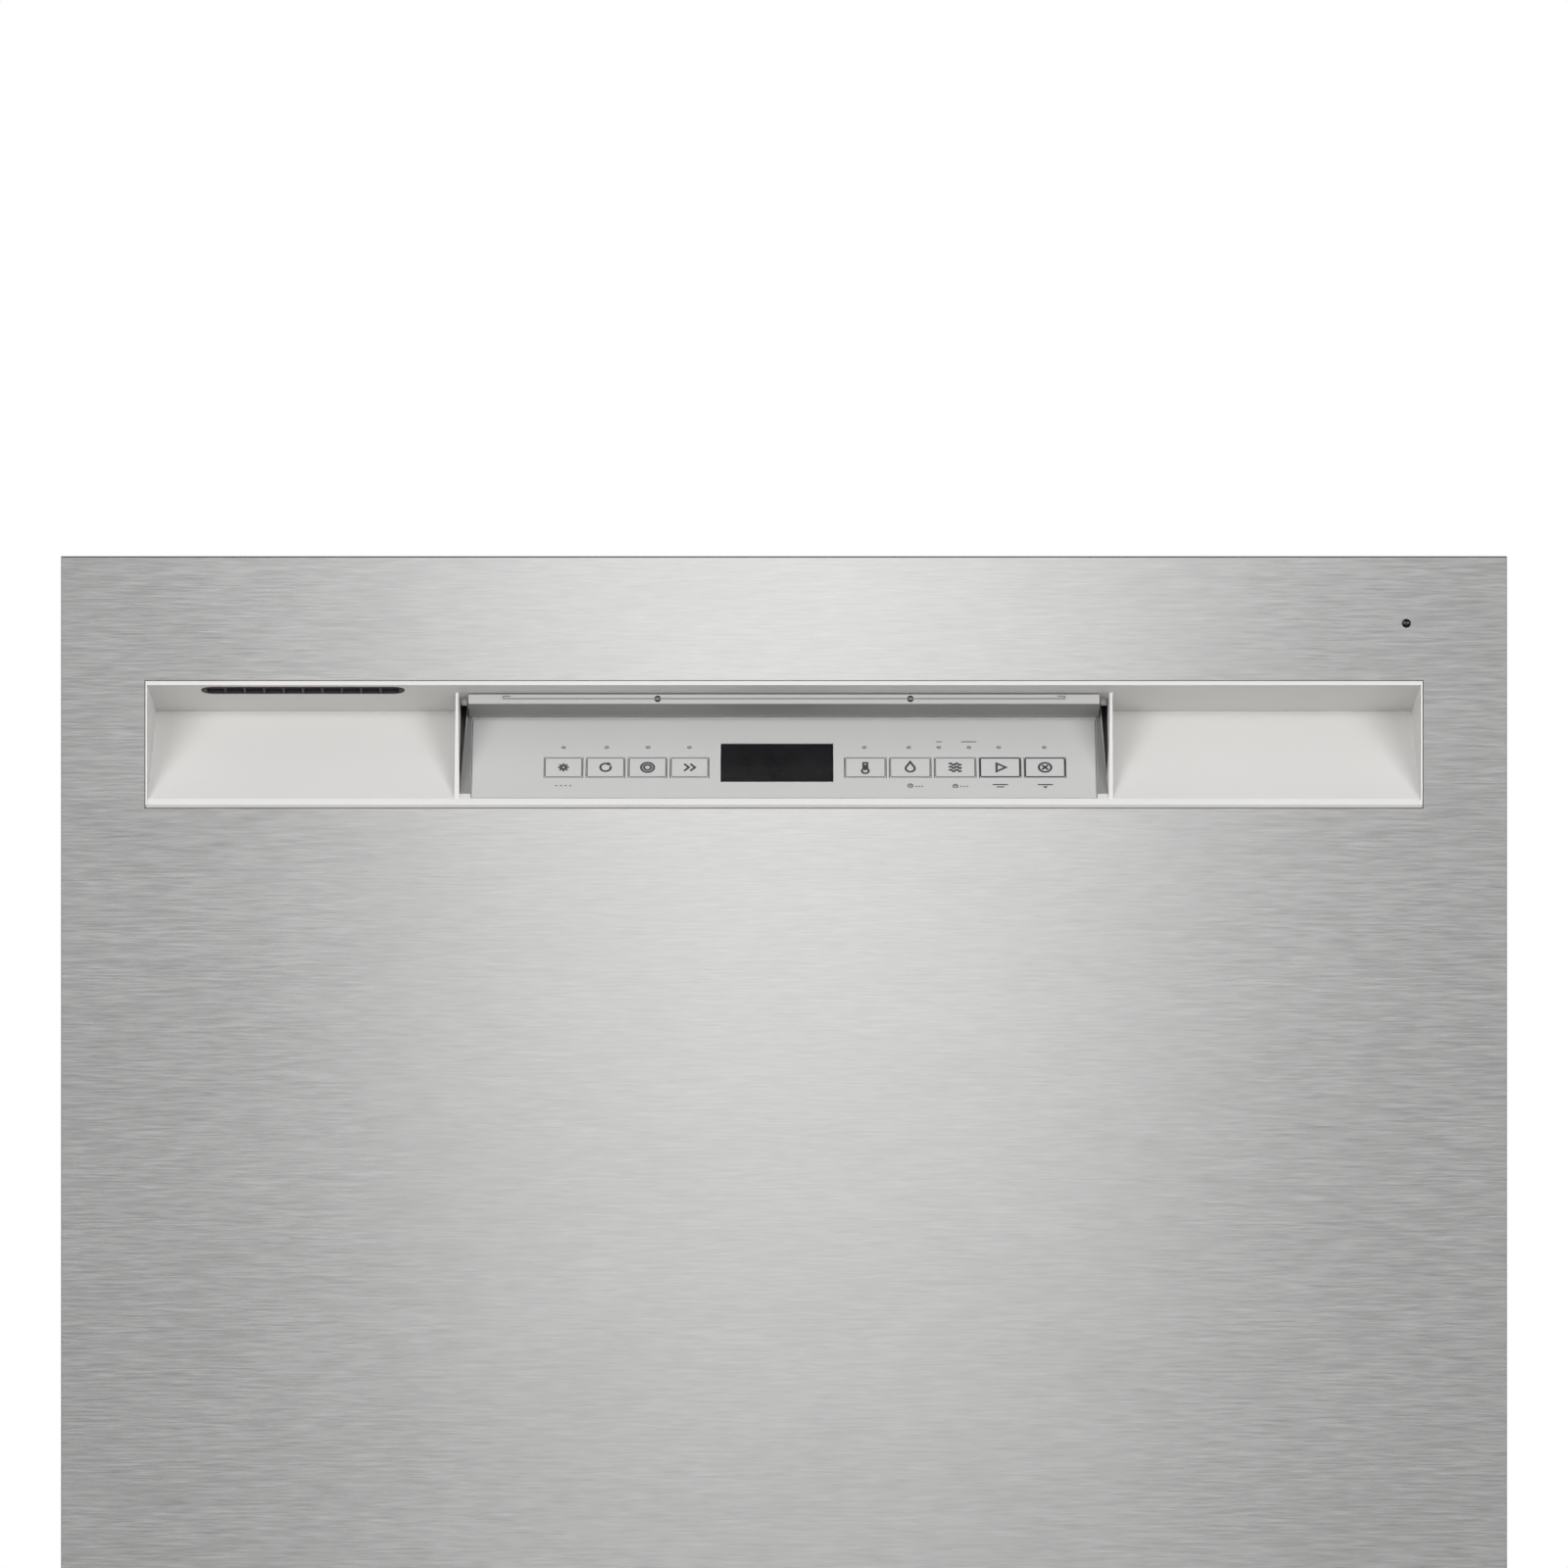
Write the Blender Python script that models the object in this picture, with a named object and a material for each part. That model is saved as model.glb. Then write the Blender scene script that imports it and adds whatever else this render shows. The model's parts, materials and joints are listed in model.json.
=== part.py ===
"""Built-in dishwasher, 24 inch class, with a pocket handle and front controls in the door.

Metres, +Z up, the door faces -Y. The origin is on the floor under the middle of the machine.
"""

import math

import bmesh
import bpy
from mathutils import Matrix, Vector

# Overall size.
WIDTH = 0.606
DEPTH = 0.622
HEIGHT = 0.8523
FRONT = -DEPTH / 2
BACK = DEPTH / 2
GAP = 0.0003
MERGE = 1e-6

# Door shell. The dark edge frame stands a little proud of the steel skin.
DOOR_TOP = 0.852
DOOR_BOTTOM = 0.120
DOOR_HALF = WIDTH / 2
DOOR_INNER = -0.256
EDGE_PROUD = 0.0008
SKIN = 0.0010
SKIN_RETURN = 0.022
SKIN_BOTTOM_RETURN = 0.008
FRAME_WALL = 0.0015
CROWN_FALL = 0.0009
LINER = 0.0015
DISH_DEPTH = 0.006
DISH_HALF = 0.250
DISH_LOW = 0.170
DISH_HIGH = 0.800
STRIKE_HALF = 0.020
STRIKE_ROOM = 0.006
STRIKE_LOW = 0.8345
STRIKE_HIGH = 0.8447

# Handle pocket, measured down from the top of the door and in from the door's face.
RIM_HALF = 0.2675
RIM_TOP = 0.0521
RIM_BOTTOM = 0.1058
RIM_THICK = 0.0030
MOUTH_HALF = 0.2665
MOUTH_TOP = 0.0541
MOUTH_BOTTOM = 0.1017
LIP_BOTTOM = 0.1041
BOWL_DEPTH = 0.038
BOWL_CEILING_DROP = 0.0107
BOWL_END_DRAFT = 0.0020
SHELL = 0.0022
CHEEK_OUTER = 0.1380
CHEEK_INNER = 0.1367
CHEEK_SETBACK = 0.0110
CONSOLE_WALL_TOP = 0.1329
CONSOLE_WALL_BOTTOM = 0.1359
LIP_SETBACK = 0.0010
CEILING_SLOPE = BOWL_CEILING_DROP / BOWL_DEPTH
SIDE_GAP_TOP = 0.0594
SIDE_GAP_BOTTOM = 0.0990

# Control fascia: its face leans back from the lower lip to under the ledge.
FASCIA_HALF = 0.1308
FASCIA_TOP = 0.0679
FASCIA_TOP_DEPTH = 0.0320
FASCIA_THICK = 0.0020
LEDGE_HALF = 0.1323
LEDGE_TOP = 0.0579
LEDGE_BOTTOM = 0.0618
LEDGE_DEPTH = 0.0113
STRIP_HALF = 0.1177
STRIP_BOTTOM = 0.0597
STRIP_SUNK = 0.0004
LEDGE_SCREW_X = 0.053
LEDGE_SCREW_DROP = 0.0598
LEDGE_SCREW_LONG = 0.0034
LEDGE_SCREW_RADIUS = 0.0011
KEY_DROP = 0.0886
KEY_TALL = 0.0113
KEY_PROUD = 0.0001
KEY_THICK = 0.0018
LEFT_KEYS = 4
LEFT_KEY_FIRST = -0.0925
LEFT_KEY_PITCH = 0.01763
LEFT_KEY_WIDE = 0.0160
RIGHT_KEYS = 5
RIGHT_KEY_FIRST = 0.0341
RIGHT_KEY_PITCH = 0.01885
RIGHT_KEY_WIDE = 0.0172
DISPLAY_X = -0.00295
DISPLAY_WIDE = 0.0467
DISPLAY_TALL = 0.0214
DISPLAY_DROP = 0.0865
DISPLAY_SUNK = -0.0001
GUIDE_BACK = -0.0045
GUIDE_FRONT = -0.0024
GUIDE_HALF = 0.0018
GUIDE_END = 0.0030
BOARD_WIDE = 0.236
BOARD_TALL = 0.034
BOARD_BACK = -0.0078
BOARD_FRONT = -0.0062
LAMP_DROP = 0.0801
LAMP_RADIUS = 0.0007
LAMPS_X = (-0.0925, -0.0745, -0.0571, -0.0397, 0.0337, 0.0524, 0.0651, 0.0777, 0.0902, 0.1093)

# Air vent in the ceiling of the left bowl, and the status lens at the upper right.
VENT_LEFT = -0.2444
VENT_RIGHT = -0.1587
VENT_NEAR = 0.0028
VENT_FAR = 0.0128
VENT_CELLS = 10
VENT_RIB = 0.0010
VENT_RIM = 0.0012
VENT_END = 0.0022
VENT_CUT_LOW = 0.0620
VENT_CUT_HIGH = 0.0450
GRILLE_PROUD = 0.0002
GRILLE_HIGH = 0.0525
LENS_X = 0.2604
LENS_DROP = 0.0283
LENS_RADIUS = 0.0016

# Rubber strip across the foot of the liner.
SEAL_HALF = 0.262
SEAL_LOW = 0.149
SEAL_HIGH = 0.160
SEAL_TAPER = 0.003

# Door hinge line, along X.
PIVOT_Y = -0.290
PIVOT_Z = 0.128
PIN_RADIUS = 0.004
ARM_INNER = 0.2855
ARM_THICK = 0.0025
ARM_TOP = 0.330
ARM_REACH = 0.026
BRACKET_INNER = 0.2795
BRACKET_THICK = 0.0040
BRACKET_HALF_TALL = 0.008
BRACKET_ROOM = 0.005
BRACKET_BACK = -0.180

# Detergent dispenser, in the dished face of the door.
DISPENSER_HALF = 0.090
DISPENSER_LOW = 0.420
DISPENSER_HIGH = 0.570
DISPENSER_FRONT = -0.286
DISPENSER_FACE = -0.2583
CAP_X = 0.050
CAP_Z = 0.500
CAP_RADIUS = 0.0170
CAP_BAR_HALF = 0.013
CUP_LEFT = -0.075
CUP_RIGHT = -0.005
CUP_LOW = 0.450
CUP_HIGH = 0.520
CUP_DEPTH = 0.022
LID_LAP_SIDE = 0.004
LID_LAP = 0.006
LID_THICK = 0.0018
LID_RIDGE = 0.0040

# Tub.
TUB_FRONT = -0.252
TUB_HALF = 0.280
TUB_BACK = 0.3085
TUB_LOW = 0.146
TUB_HIGH = 0.844
TUB_WALL = 0.002
FLANGE_HALF = 0.297
FLANGE_LOW = 0.140
FLANGE_HIGH = 0.8508
FLANGE_THICK = 0.003
GASKET_OUTER = 0.290
GASKET_INNER = 0.2805
GASKET_LOW = 0.165
GASKET_CROWN = 0.8447
GASKET_HIGH = 0.8500
TAB_X = 0.215
TAB_HALF = 0.022
TAB_THICK = 0.0015
TAB_FOOT = 0.045
TAB_HEAD = 0.035
LEDGE_Z = 0.162
LEDGE_X = 0.245
WELL_FRONT = -0.235
FLOOR_Z = TUB_LOW + TUB_WALL
HUB_Y = 0.030
TOWER_HOLE = 0.022
FILTER_Y = 0.118
FILTER_RADIUS = 0.0455

# Sump.
SUMP_HALF = 0.070
SUMP_FRONT = -0.010
SUMP_BACK = 0.185
SUMP_LOW = 0.070
SUMP_WALL = 0.003
TOWER_TOP = 0.1805

# Base and feet.
BASE_HALF = 0.285
BASE_FRONT = -0.232
BASE_LOW = 0.020
BASE_WALL = 0.004
FOOT_X = 0.255
FOOT_YS = (-0.205, 0.280)
FOOT_RADIUS = 0.017
STEM_RADIUS = 0.005
STEM_TOP = 0.055
BOSS_RADIUS = 0.014
BOSS_TOP = 0.060
TOE_FRONT = -0.245
TOE_HALF = 0.290
TOE_LOW = 0.006
TOE_HIGH = 0.114
TOE_THICK = 0.0015
TOE_FOLD = 0.012
DRAIN_X = 0.200
DRAIN_Z = 0.075
DRAIN_RADIUS = 0.010

# Racks.
LOWER_HALF = 0.248
LOWER_FRONT = -0.225
LOWER_BACK = 0.262
LOWER_FLOOR = 0.205
LOWER_RIM = 0.385
UPPER_HALF = 0.246
UPPER_FRONT = -0.222
UPPER_BACK = 0.268
UPPER_FLOOR = 0.502
UPPER_RIM = 0.640
RAIL_INNER = 0.2600
RAIL_OUTER = 0.2765
RAIL_LOW = 0.556
RAIL_HIGH = 0.584
RAIL_FRONT = -0.235
RAIL_BACK = 0.275
RAIL_WALL = 0.003
BASKET_LEFT = 0.120
BASKET_RIGHT = 0.228
BASKET_FRONT = -0.180
BASKET_BACK = 0.060
BASKET_HIGH = 0.330
BASKET_WALL = 0.0025
BASKET_ROWS = 3
WIRE = 0.004
WHEEL_RADIUS = 0.018
WHEEL_X = 0.2585
WHEEL_YS = (-0.150, 0.190)
FEED_Z = 0.4885

ROUND = 20
MATERIALS = {}


# ---- Making and combining shapes ----

def material(name, colour, roughness, metallic):
    if name not in MATERIALS:
        made = bpy.data.materials.new(name)
        made.use_nodes = True
        shader = made.node_tree.nodes["Principled BSDF"]
        shader.inputs["Base Color"].default_value = (*colour, 1.0)
        shader.inputs["Roughness"].default_value = roughness
        shader.inputs["Metallic"].default_value = metallic
        MATERIALS[name] = made
    return MATERIALS[name]


def brushed_steel():
    return material("brushed_steel", (0.62, 0.62, 0.62), 0.32, 1.0)


def tub_steel():
    return material("tub_steel", (0.66, 0.66, 0.67), 0.25, 1.0)


def galvanised_steel():
    return material("galvanised_steel", (0.50, 0.51, 0.52), 0.45, 1.0)


def pocket_grey():
    return material("pocket_grey", (0.70, 0.69, 0.67), 0.50, 0.0)


def fascia_grey():
    return material("fascia_grey", (0.58, 0.58, 0.57), 0.45, 0.0)


def key_grey():
    return material("key_grey", (0.60, 0.60, 0.59), 0.42, 0.0)


def dark_plastic():
    return material("dark_plastic", (0.03, 0.03, 0.03), 0.55, 0.0)


def grey_plastic():
    return material("grey_plastic", (0.30, 0.31, 0.32), 0.50, 0.0)


def pale_plastic():
    return material("pale_plastic", (0.72, 0.73, 0.74), 0.40, 0.0)


def display_glass():
    return material("display_glass", (0.01, 0.01, 0.012), 0.08, 0.0)


def lamp_plastic():
    return material("lamp_plastic", (0.35, 0.35, 0.35), 0.30, 0.0)


def board_green():
    return material("board_green", (0.02, 0.16, 0.07), 0.50, 0.0)


def black_rubber():
    return material("black_rubber", (0.02, 0.02, 0.02), 0.80, 0.0)


def coated_wire():
    return material("coated_wire", (0.42, 0.43, 0.45), 0.40, 0.0)


def heater_metal():
    return material("heater_metal", (0.35, 0.34, 0.33), 0.35, 1.0)


def as_object(name, mesh_work, look, smooth=False):
    """Turns a bmesh into a linked object with outward faces."""
    bmesh.ops.recalc_face_normals(mesh_work, faces=mesh_work.faces)
    mesh = bpy.data.meshes.new(name)
    mesh_work.to_mesh(mesh)
    mesh_work.free()
    if smooth:
        mesh.shade_smooth()
        mesh.set_sharp_from_angle(angle=math.radians(40))
    mesh.materials.append(look)
    made = bpy.data.objects.new(name, mesh)
    bpy.context.scene.collection.objects.link(made)
    return made


def box(name, low, high, look):
    """A box between two corners."""
    work = bmesh.new()
    bmesh.ops.create_cube(work, size=1.0)
    for point in work.verts:
        point.co = Vector([low[i] + (point.co[i] + 0.5) * (high[i] - low[i]) for i in range(3)])
    return as_object(name, work, look)


def lofted(name, rings, look, smooth=False):
    """A closed body through rings of points, with a flat cap on each end."""
    work = bmesh.new()
    rows = [[work.verts.new(point) for point in ring] for ring in rings]
    count = len(rows[0])
    for near, far in zip(rows, rows[1:]):
        for i in range(count):
            j = (i + 1) % count
            work.faces.new((near[i], near[j], far[j], far[i]))
    work.faces.new(rows[0])
    work.faces.new(rows[-1])
    bmesh.ops.remove_doubles(work, verts=work.verts, dist=MERGE)
    return as_object(name, work, look, smooth)


def along_x(name, outline, start, end, look):
    """An outline of (y, z) points, extruded along X."""
    return lofted(name, [[(x, y, z) for y, z in outline] for x in (start, end)], look)


def along_z(name, outline, start, end, look):
    """An outline of (x, y) points, extruded along Z."""
    return lofted(name, [[(x, y, z) for x, y in outline] for z in (start, end)], look)


def circle(radius, sides=ROUND, centre=(0.0, 0.0), start=0.0, turn=2 * math.pi):
    """Points round a circle, or round part of one."""
    steps = sides if turn == 2 * math.pi else sides - 1
    angles = [start + turn * i / steps for i in range(sides)]
    return [(centre[0] + radius * math.cos(a), centre[1] + radius * math.sin(a)) for a in angles]


def turned(name, profile, look, sides=ROUND):
    """A closed (radius, height) profile turned about Z. Points at radius 0 become poles."""
    work = bmesh.new()
    columns = []
    for radius, height in profile:
        if radius == 0:
            columns.append([work.verts.new((0, 0, height))] * sides)
        else:
            columns.append([work.verts.new((x, y, height)) for x, y in circle(radius, sides)])
    for k in range(len(columns)):
        near, far = columns[k], columns[(k + 1) % len(columns)]
        for i in range(sides):
            j = (i + 1) % sides
            corners = list(dict.fromkeys((near[i], near[j], far[j], far[i])))
            if len(corners) > 2:
                work.faces.new(corners)
    return as_object(name, work, look, smooth=True)


def rod(name, radius, low, high, look, sides=ROUND):
    """A straight round bar along Z."""
    return turned(name, [(0, low), (radius, low), (radius, high), (0, high)], look, sides)


def drill(radius, low, high, sides=ROUND):
    """A round cutter along Z."""
    return rod("cutter", radius, low, high, dark_plastic(), sides)


def tube(name, points, radius, look, sides=8):
    """A round bar that follows points, with mitred bends."""
    points = [Vector(point) for point in points]
    rings = []
    side = (points[1] - points[0]).orthogonal().normalized()
    for i, point in enumerate(points):
        before = (point - points[max(i - 1, 0)]).normalized()
        after = (points[min(i + 1, len(points) - 1)] - point).normalized()
        ahead = (before + after).normalized()
        side = (side - ahead * side.dot(ahead)).normalized()
        across = ahead.cross(side)
        stretch = radius / max(0.5, ahead.dot(after if after.length else before))
        rings.append([point + stretch * (side * c + across * s) for c, s in circle(1.0, sides)])
    return lofted(name, rings, look, smooth=True)


def place(made, where, rotation=None):
    """Moves an object's origin to a point, and turns it when a rotation is given."""
    made.matrix_world = Matrix.Translation(where) @ (rotation or Matrix.Identity(4))
    return made


def hang(names, axis_name, where):
    """Parents pieces to an empty on their joint's axis, and leaves them where they are."""
    axis = bpy.data.objects.new(axis_name, None)
    axis.location = where
    bpy.context.scene.collection.objects.link(axis)
    for name in names:
        piece = bpy.data.objects[name]
        piece.parent = axis
        piece.matrix_parent_inverse = Matrix.Translation(-Vector(where))


def combine(target, tool, operation):
    tool.hide_render = True
    tool.display_type = "WIRE"
    change = target.modifiers.new(operation.lower(), "BOOLEAN")
    change.operation = operation
    change.object = tool
    change.solver = "EXACT"
    return target


def cut(target, tool):
    return combine(target, tool, "DIFFERENCE")


def fuse(target, tool):
    return combine(target, tool, "UNION")


def cut_box(target, low, high):
    return cut(target, box("cutter", low, high, dark_plastic()))


def fuse_box(target, low, high):
    return fuse(target, box("tool", low, high, target.data.materials[0]))


# Turns that carry a shape's own +Z to the door's inside (+Y), to its outside (-Y) and to +X.
TURN_TO_Y_INWARD = Matrix.Rotation(math.radians(-90), 4, "X")
TURN_TO_Y_OUTWARD = Matrix.Rotation(math.radians(90), 4, "X")
TURN_TO_X = Matrix.Rotation(math.radians(90), 4, "Y")


def drop(distance):
    """Height of a point that lies this far below the top of the door."""
    return DOOR_TOP - distance


# ---- Door shell ----

def build_outer_panel():
    """Steel skin folded back along its edges, with a window for the pocket."""
    half = DOOR_HALF - EDGE_PROUD
    top = DOOR_TOP - EDGE_PROUD
    skin = box("door_outer_panel", (-half, FRONT, DOOR_BOTTOM), (half, FRONT + SKIN_RETURN, top),
               brushed_steel())
    inner = half - SKIN
    cut_box(skin, (-inner, FRONT + SKIN, DOOR_BOTTOM + SKIN), (inner, FRONT + DEPTH, top - SKIN))
    cut_box(skin, (-inner, FRONT + SKIN_BOTTOM_RETURN, 0), (inner, FRONT + DEPTH, DOOR_BOTTOM + 2 * SKIN))
    cut_box(skin, (-RIM_HALF, FRONT - SKIN, drop(RIM_BOTTOM)), (RIM_HALF, FRONT + 2 * SKIN, drop(RIM_TOP)))
    hole = drill(LENS_RADIUS + GAP, -2 * SKIN, 2 * SKIN, 12)
    return cut(skin, place(hole, (LENS_X, FRONT, drop(LENS_DROP)), TURN_TO_Y_INWARD))


def build_edge_frame():
    """Dark frame round the top and sides, between the skin and the liner.

    Its crown falls towards the back, so that it passes under the worktop as the door opens.
    """
    front = FRONT + SKIN_RETURN + GAP
    frame = box("door_edge_frame", (-DOOR_HALF, front, DOOR_BOTTOM),
                (DOOR_HALF, DOOR_INNER - GAP, DOOR_TOP), dark_plastic())
    inner = DOOR_HALF - FRAME_WALL
    cut_box(frame, (-inner, -1, 0), (inner, 1, DOOR_TOP - FRAME_WALL))
    crown = [(front, DOOR_TOP), (DOOR_INNER, DOOR_TOP - CROWN_FALL), (DOOR_INNER, HEIGHT), (front, HEIGHT)]
    return cut(frame, along_x("cutter", crown, -WIDTH, WIDTH, dark_plastic()))


def build_status_lens():
    """Small dark lens of the light that shows the machine is running."""
    radius = LENS_RADIUS - GAP / 2
    lens = turned("status_lens", [(0, -0.0005), (radius - GAP, -0.0002), (radius, 0.0003), (radius, 0.006),
                                  (0, 0.006)], display_glass(), 12)
    return place(lens, (LENS_X, FRONT + 0.0006, drop(LENS_DROP)), TURN_TO_Y_INWARD)


def pocket_ring(side, x, back_x, inner, deep_shell):
    """One section of the pocket moulding: front points top to bottom, then the back of its shell.

    inner holds (half width, depth, drop) of the four points of the hollow.
    """
    rim = FRONT + GAP
    back = rim + RIM_THICK
    low = drop(RIM_BOTTOM - GAP)
    high = drop(RIM_TOP + GAP)
    ring = [(side * x, rim, high)]
    ring += [(side * half, rim + deep, drop(down)) for half, deep, down in inner]
    ring += [(side * x, rim, drop(LIP_BOTTOM)), (side * x, rim + LIP_SETBACK, low)]
    if deep_shell:
        deepest = MOUTH_TOP + BOWL_CEILING_DROP
        behind = [(back + SHELL, low), (rim + BOWL_DEPTH + SHELL, drop(deepest)),
                  (rim + BOWL_DEPTH, drop(deepest - RIM_THICK)), (back, high)]
    else:
        behind = [(back, low), (back, low + SHELL), (back, high - SHELL), (back, high)]
    return ring + [(side * back_x, y, z) for y, z in behind]


def bowl_points(half):
    """The hollow of a finger bowl: mouth, ceiling, deepest line and lower lip."""
    middle = CHEEK_SETBACK
    return [(half, 0, MOUTH_TOP), (half, middle, MOUTH_TOP + middle * CEILING_SLOPE),
            (half, BOWL_DEPTH, MOUTH_TOP + BOWL_CEILING_DROP), (half, LIP_SETBACK, MOUTH_BOTTOM)]


def cheek_points(half):
    """The hollow in front of the thin wall between a bowl and the console."""
    step = MOUTH_TOP + CHEEK_SETBACK * CEILING_SLOPE
    return [(half, 0, MOUTH_TOP), (half, CHEEK_SETBACK, step), (half, CHEEK_SETBACK - 0.0001, step + 0.002),
            (half, LIP_SETBACK, MOUTH_BOTTOM)]


def console_points(half_top, half_bottom):
    """The hollow round the console, with side walls that lean in to where its ceiling meets the slope."""
    slope = (FASCIA_TOP_DEPTH - LIP_SETBACK) / (MOUTH_BOTTOM - FASCIA_TOP)
    deep = (LIP_SETBACK + slope * (MOUTH_BOTTOM - MOUTH_TOP)) / (1 + slope * CEILING_SLOPE)
    return [(half_top, 0, MOUTH_TOP), (half_top, CHEEK_SETBACK, MOUTH_TOP + CHEEK_SETBACK * CEILING_SLOPE),
            (half_top, deep, MOUTH_TOP + deep * CEILING_SLOPE), (half_bottom, LIP_SETBACK, MOUTH_BOTTOM)]


def build_handle_pocket():
    """Moulded grip across the door: a finger bowl each side and a recess for the console between."""
    end = RIM_HALF - GAP
    flat = [(0, MOUTH_TOP), (0, 0.065), (0, 0.080), (0, MOUTH_BOTTOM)]
    mouth = [(MOUTH_HALF, deep, down) for deep, down in flat]
    outer = [(end, deep, down) for deep, down in flat]
    bowl_end = MOUTH_HALF - BOWL_END_DRAFT
    drafted = mouth[:1] + [(MOUTH_HALF - BOWL_END_DRAFT / 3,) + bowl_points(bowl_end)[1][1:]]
    drafted += [bowl_points(bowl_end)[2], (MOUTH_HALF - GAP / 2, LIP_SETBACK, MOUTH_BOTTOM)]
    console = cheek_points(CHEEK_INNER - GAP)[:2] + console_points(CONSOLE_WALL_TOP, CONSOLE_WALL_BOTTOM)[2:]
    cheek = CHEEK_OUTER - GAP
    stations = [(end, end, outer, False), (MOUTH_HALF, end - GAP / 3, mouth, False),
                (bowl_end, end - 2 * GAP / 3, drafted, True),
                (CHEEK_OUTER, CHEEK_OUTER, bowl_points(CHEEK_OUTER), True),
                (cheek, cheek, cheek_points(cheek), True),
                (CHEEK_INNER, CHEEK_INNER, cheek_points(CHEEK_INNER), True),
                (CONSOLE_WALL_TOP, CONSOLE_WALL_TOP, console, True)]
    rings = [pocket_ring(1, *station) for station in stations]
    rings += [pocket_ring(-1, *station) for station in reversed(stations)]
    pocket = lofted("handle_pocket", rings, pocket_grey())
    window = flat_box("cutter", 2 * (FASCIA_HALF + GAP), FASCIA_TALL - 2 * GAP, -0.010, 0.004, dark_plastic())
    cut(pocket, on_fascia(window, 0, FASCIA_MIDDLE, 0))
    near = FRONT + VENT_NEAR
    far = FRONT + VENT_FAR
    vent = slot_outline(VENT_LEFT, VENT_RIGHT, near, far)
    cut(pocket, along_z("cutter", vent, drop(VENT_CUT_LOW), drop(VENT_CUT_HIGH), dark_plastic()))
    for side in (-1, 1):
        outer = CHEEK_INNER - 2 * GAP
        wedge = [(outer, drop(SIDE_GAP_TOP)), (CONSOLE_WALL_TOP + GAP, drop(SIDE_GAP_TOP)),
                 (CONSOLE_WALL_BOTTOM - GAP, drop(SIDE_GAP_BOTTOM)), (outer, drop(SIDE_GAP_BOTTOM))]
        ends = (FRONT + CHEEK_SETBACK - SHELL, FRONT + BOWL_DEPTH + 2 * SHELL)
        cut(pocket, lofted("cutter", [[(side * x, y, z) for x, z in wedge] for y in ends], dark_plastic()))
    return pocket


def slot_outline(left, right, near, far):
    """A slot with round ends, in x and y."""
    radius = (far - near) / 2
    middle = (far + near) / 2
    right_end = circle(radius, 7, (right - radius, middle), -math.pi / 2, math.pi)
    return right_end + circle(radius, 7, (left + radius, middle), math.pi / 2, math.pi)


def build_vent_grille():
    """Slotted insert that closes the air vent. Its face lies along the ceiling of the left bowl."""
    near = FRONT + VENT_NEAR + GAP
    far = FRONT + VENT_FAR - GAP
    outline = slot_outline(VENT_LEFT + GAP, VENT_RIGHT - GAP, near, far)
    grille = along_z("vent_grille", outline, drop(VENT_CUT_LOW), drop(GRILLE_HIGH), dark_plastic())
    face = [(y, drop(MOUTH_TOP + (y - FRONT - GAP) * CEILING_SLOPE + GRILLE_PROUD))
            for y in (FRONT, far + GAP)]
    below = [(y, drop(MOUTH_BOTTOM)) for y in (far + GAP, FRONT)]
    cut(grille, along_x("cutter", face + below, VENT_LEFT - GAP, VENT_RIGHT + GAP, dark_plastic()))
    first = VENT_LEFT + VENT_END
    pitch = (VENT_RIGHT - VENT_LEFT - 2 * VENT_END) / VENT_CELLS
    for cell in range(VENT_CELLS):
        left = first + cell * pitch + VENT_RIB / 2
        cut_box(grille, (left, near + VENT_RIM, drop(VENT_CUT_LOW)),
                (left + pitch - VENT_RIB, far - VENT_RIM, drop(VENT_CUT_HIGH)))
    return grille


# ---- Console: its parts are drawn flat and laid on the fascia's slope ----

FASCIA_RUN = FASCIA_TOP_DEPTH - LIP_SETBACK
FASCIA_RISE = MOUTH_BOTTOM - FASCIA_TOP
FASCIA_TILT = math.atan2(FASCIA_RUN, FASCIA_RISE)
FASCIA_TALL = math.hypot(FASCIA_RUN, FASCIA_RISE)
FASCIA_MIDDLE = (FASCIA_TOP + MOUTH_BOTTOM) / 2
KEY_IN = (0.0, math.cos(FASCIA_TILT), -math.sin(FASCIA_TILT))


def fascia_point(x, down, out=0.0):
    """World point on the fascia's face, at a drop from the top of the door, moved out along its normal."""
    deep = LIP_SETBACK + (MOUTH_BOTTOM - down) * FASCIA_RUN / FASCIA_RISE
    return Vector((x, FRONT + GAP + deep, drop(down))) - out * Vector(KEY_IN)


def on_fascia(made, x, down, out):
    """Lays a flat-drawn shape on the slope: its X stays, its Y runs up the slope, its Z points out."""
    up = Vector((0.0, math.sin(FASCIA_TILT), math.cos(FASCIA_TILT)))
    turn = Matrix((Vector((1, 0, 0)), up, -Vector(KEY_IN))).transposed().to_4x4()
    return place(made, fascia_point(x, down, out), turn)


def flat_box(name, wide, tall, low, high, look):
    """A box centred in X and Y, for laying on the fascia."""
    return box(name, (-wide / 2, -tall / 2, low), (wide / 2, tall / 2, high), look)


def keys():
    """Name, centre and width of each key, from left to right."""
    left = [(f"key_left_{i + 1}", LEFT_KEY_FIRST + i * LEFT_KEY_PITCH, LEFT_KEY_WIDE)
            for i in range(LEFT_KEYS)]
    right = [(f"key_right_{i + 1}", RIGHT_KEY_FIRST + i * RIGHT_KEY_PITCH, RIGHT_KEY_WIDE)
             for i in range(RIGHT_KEYS)]
    return left + right


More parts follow.
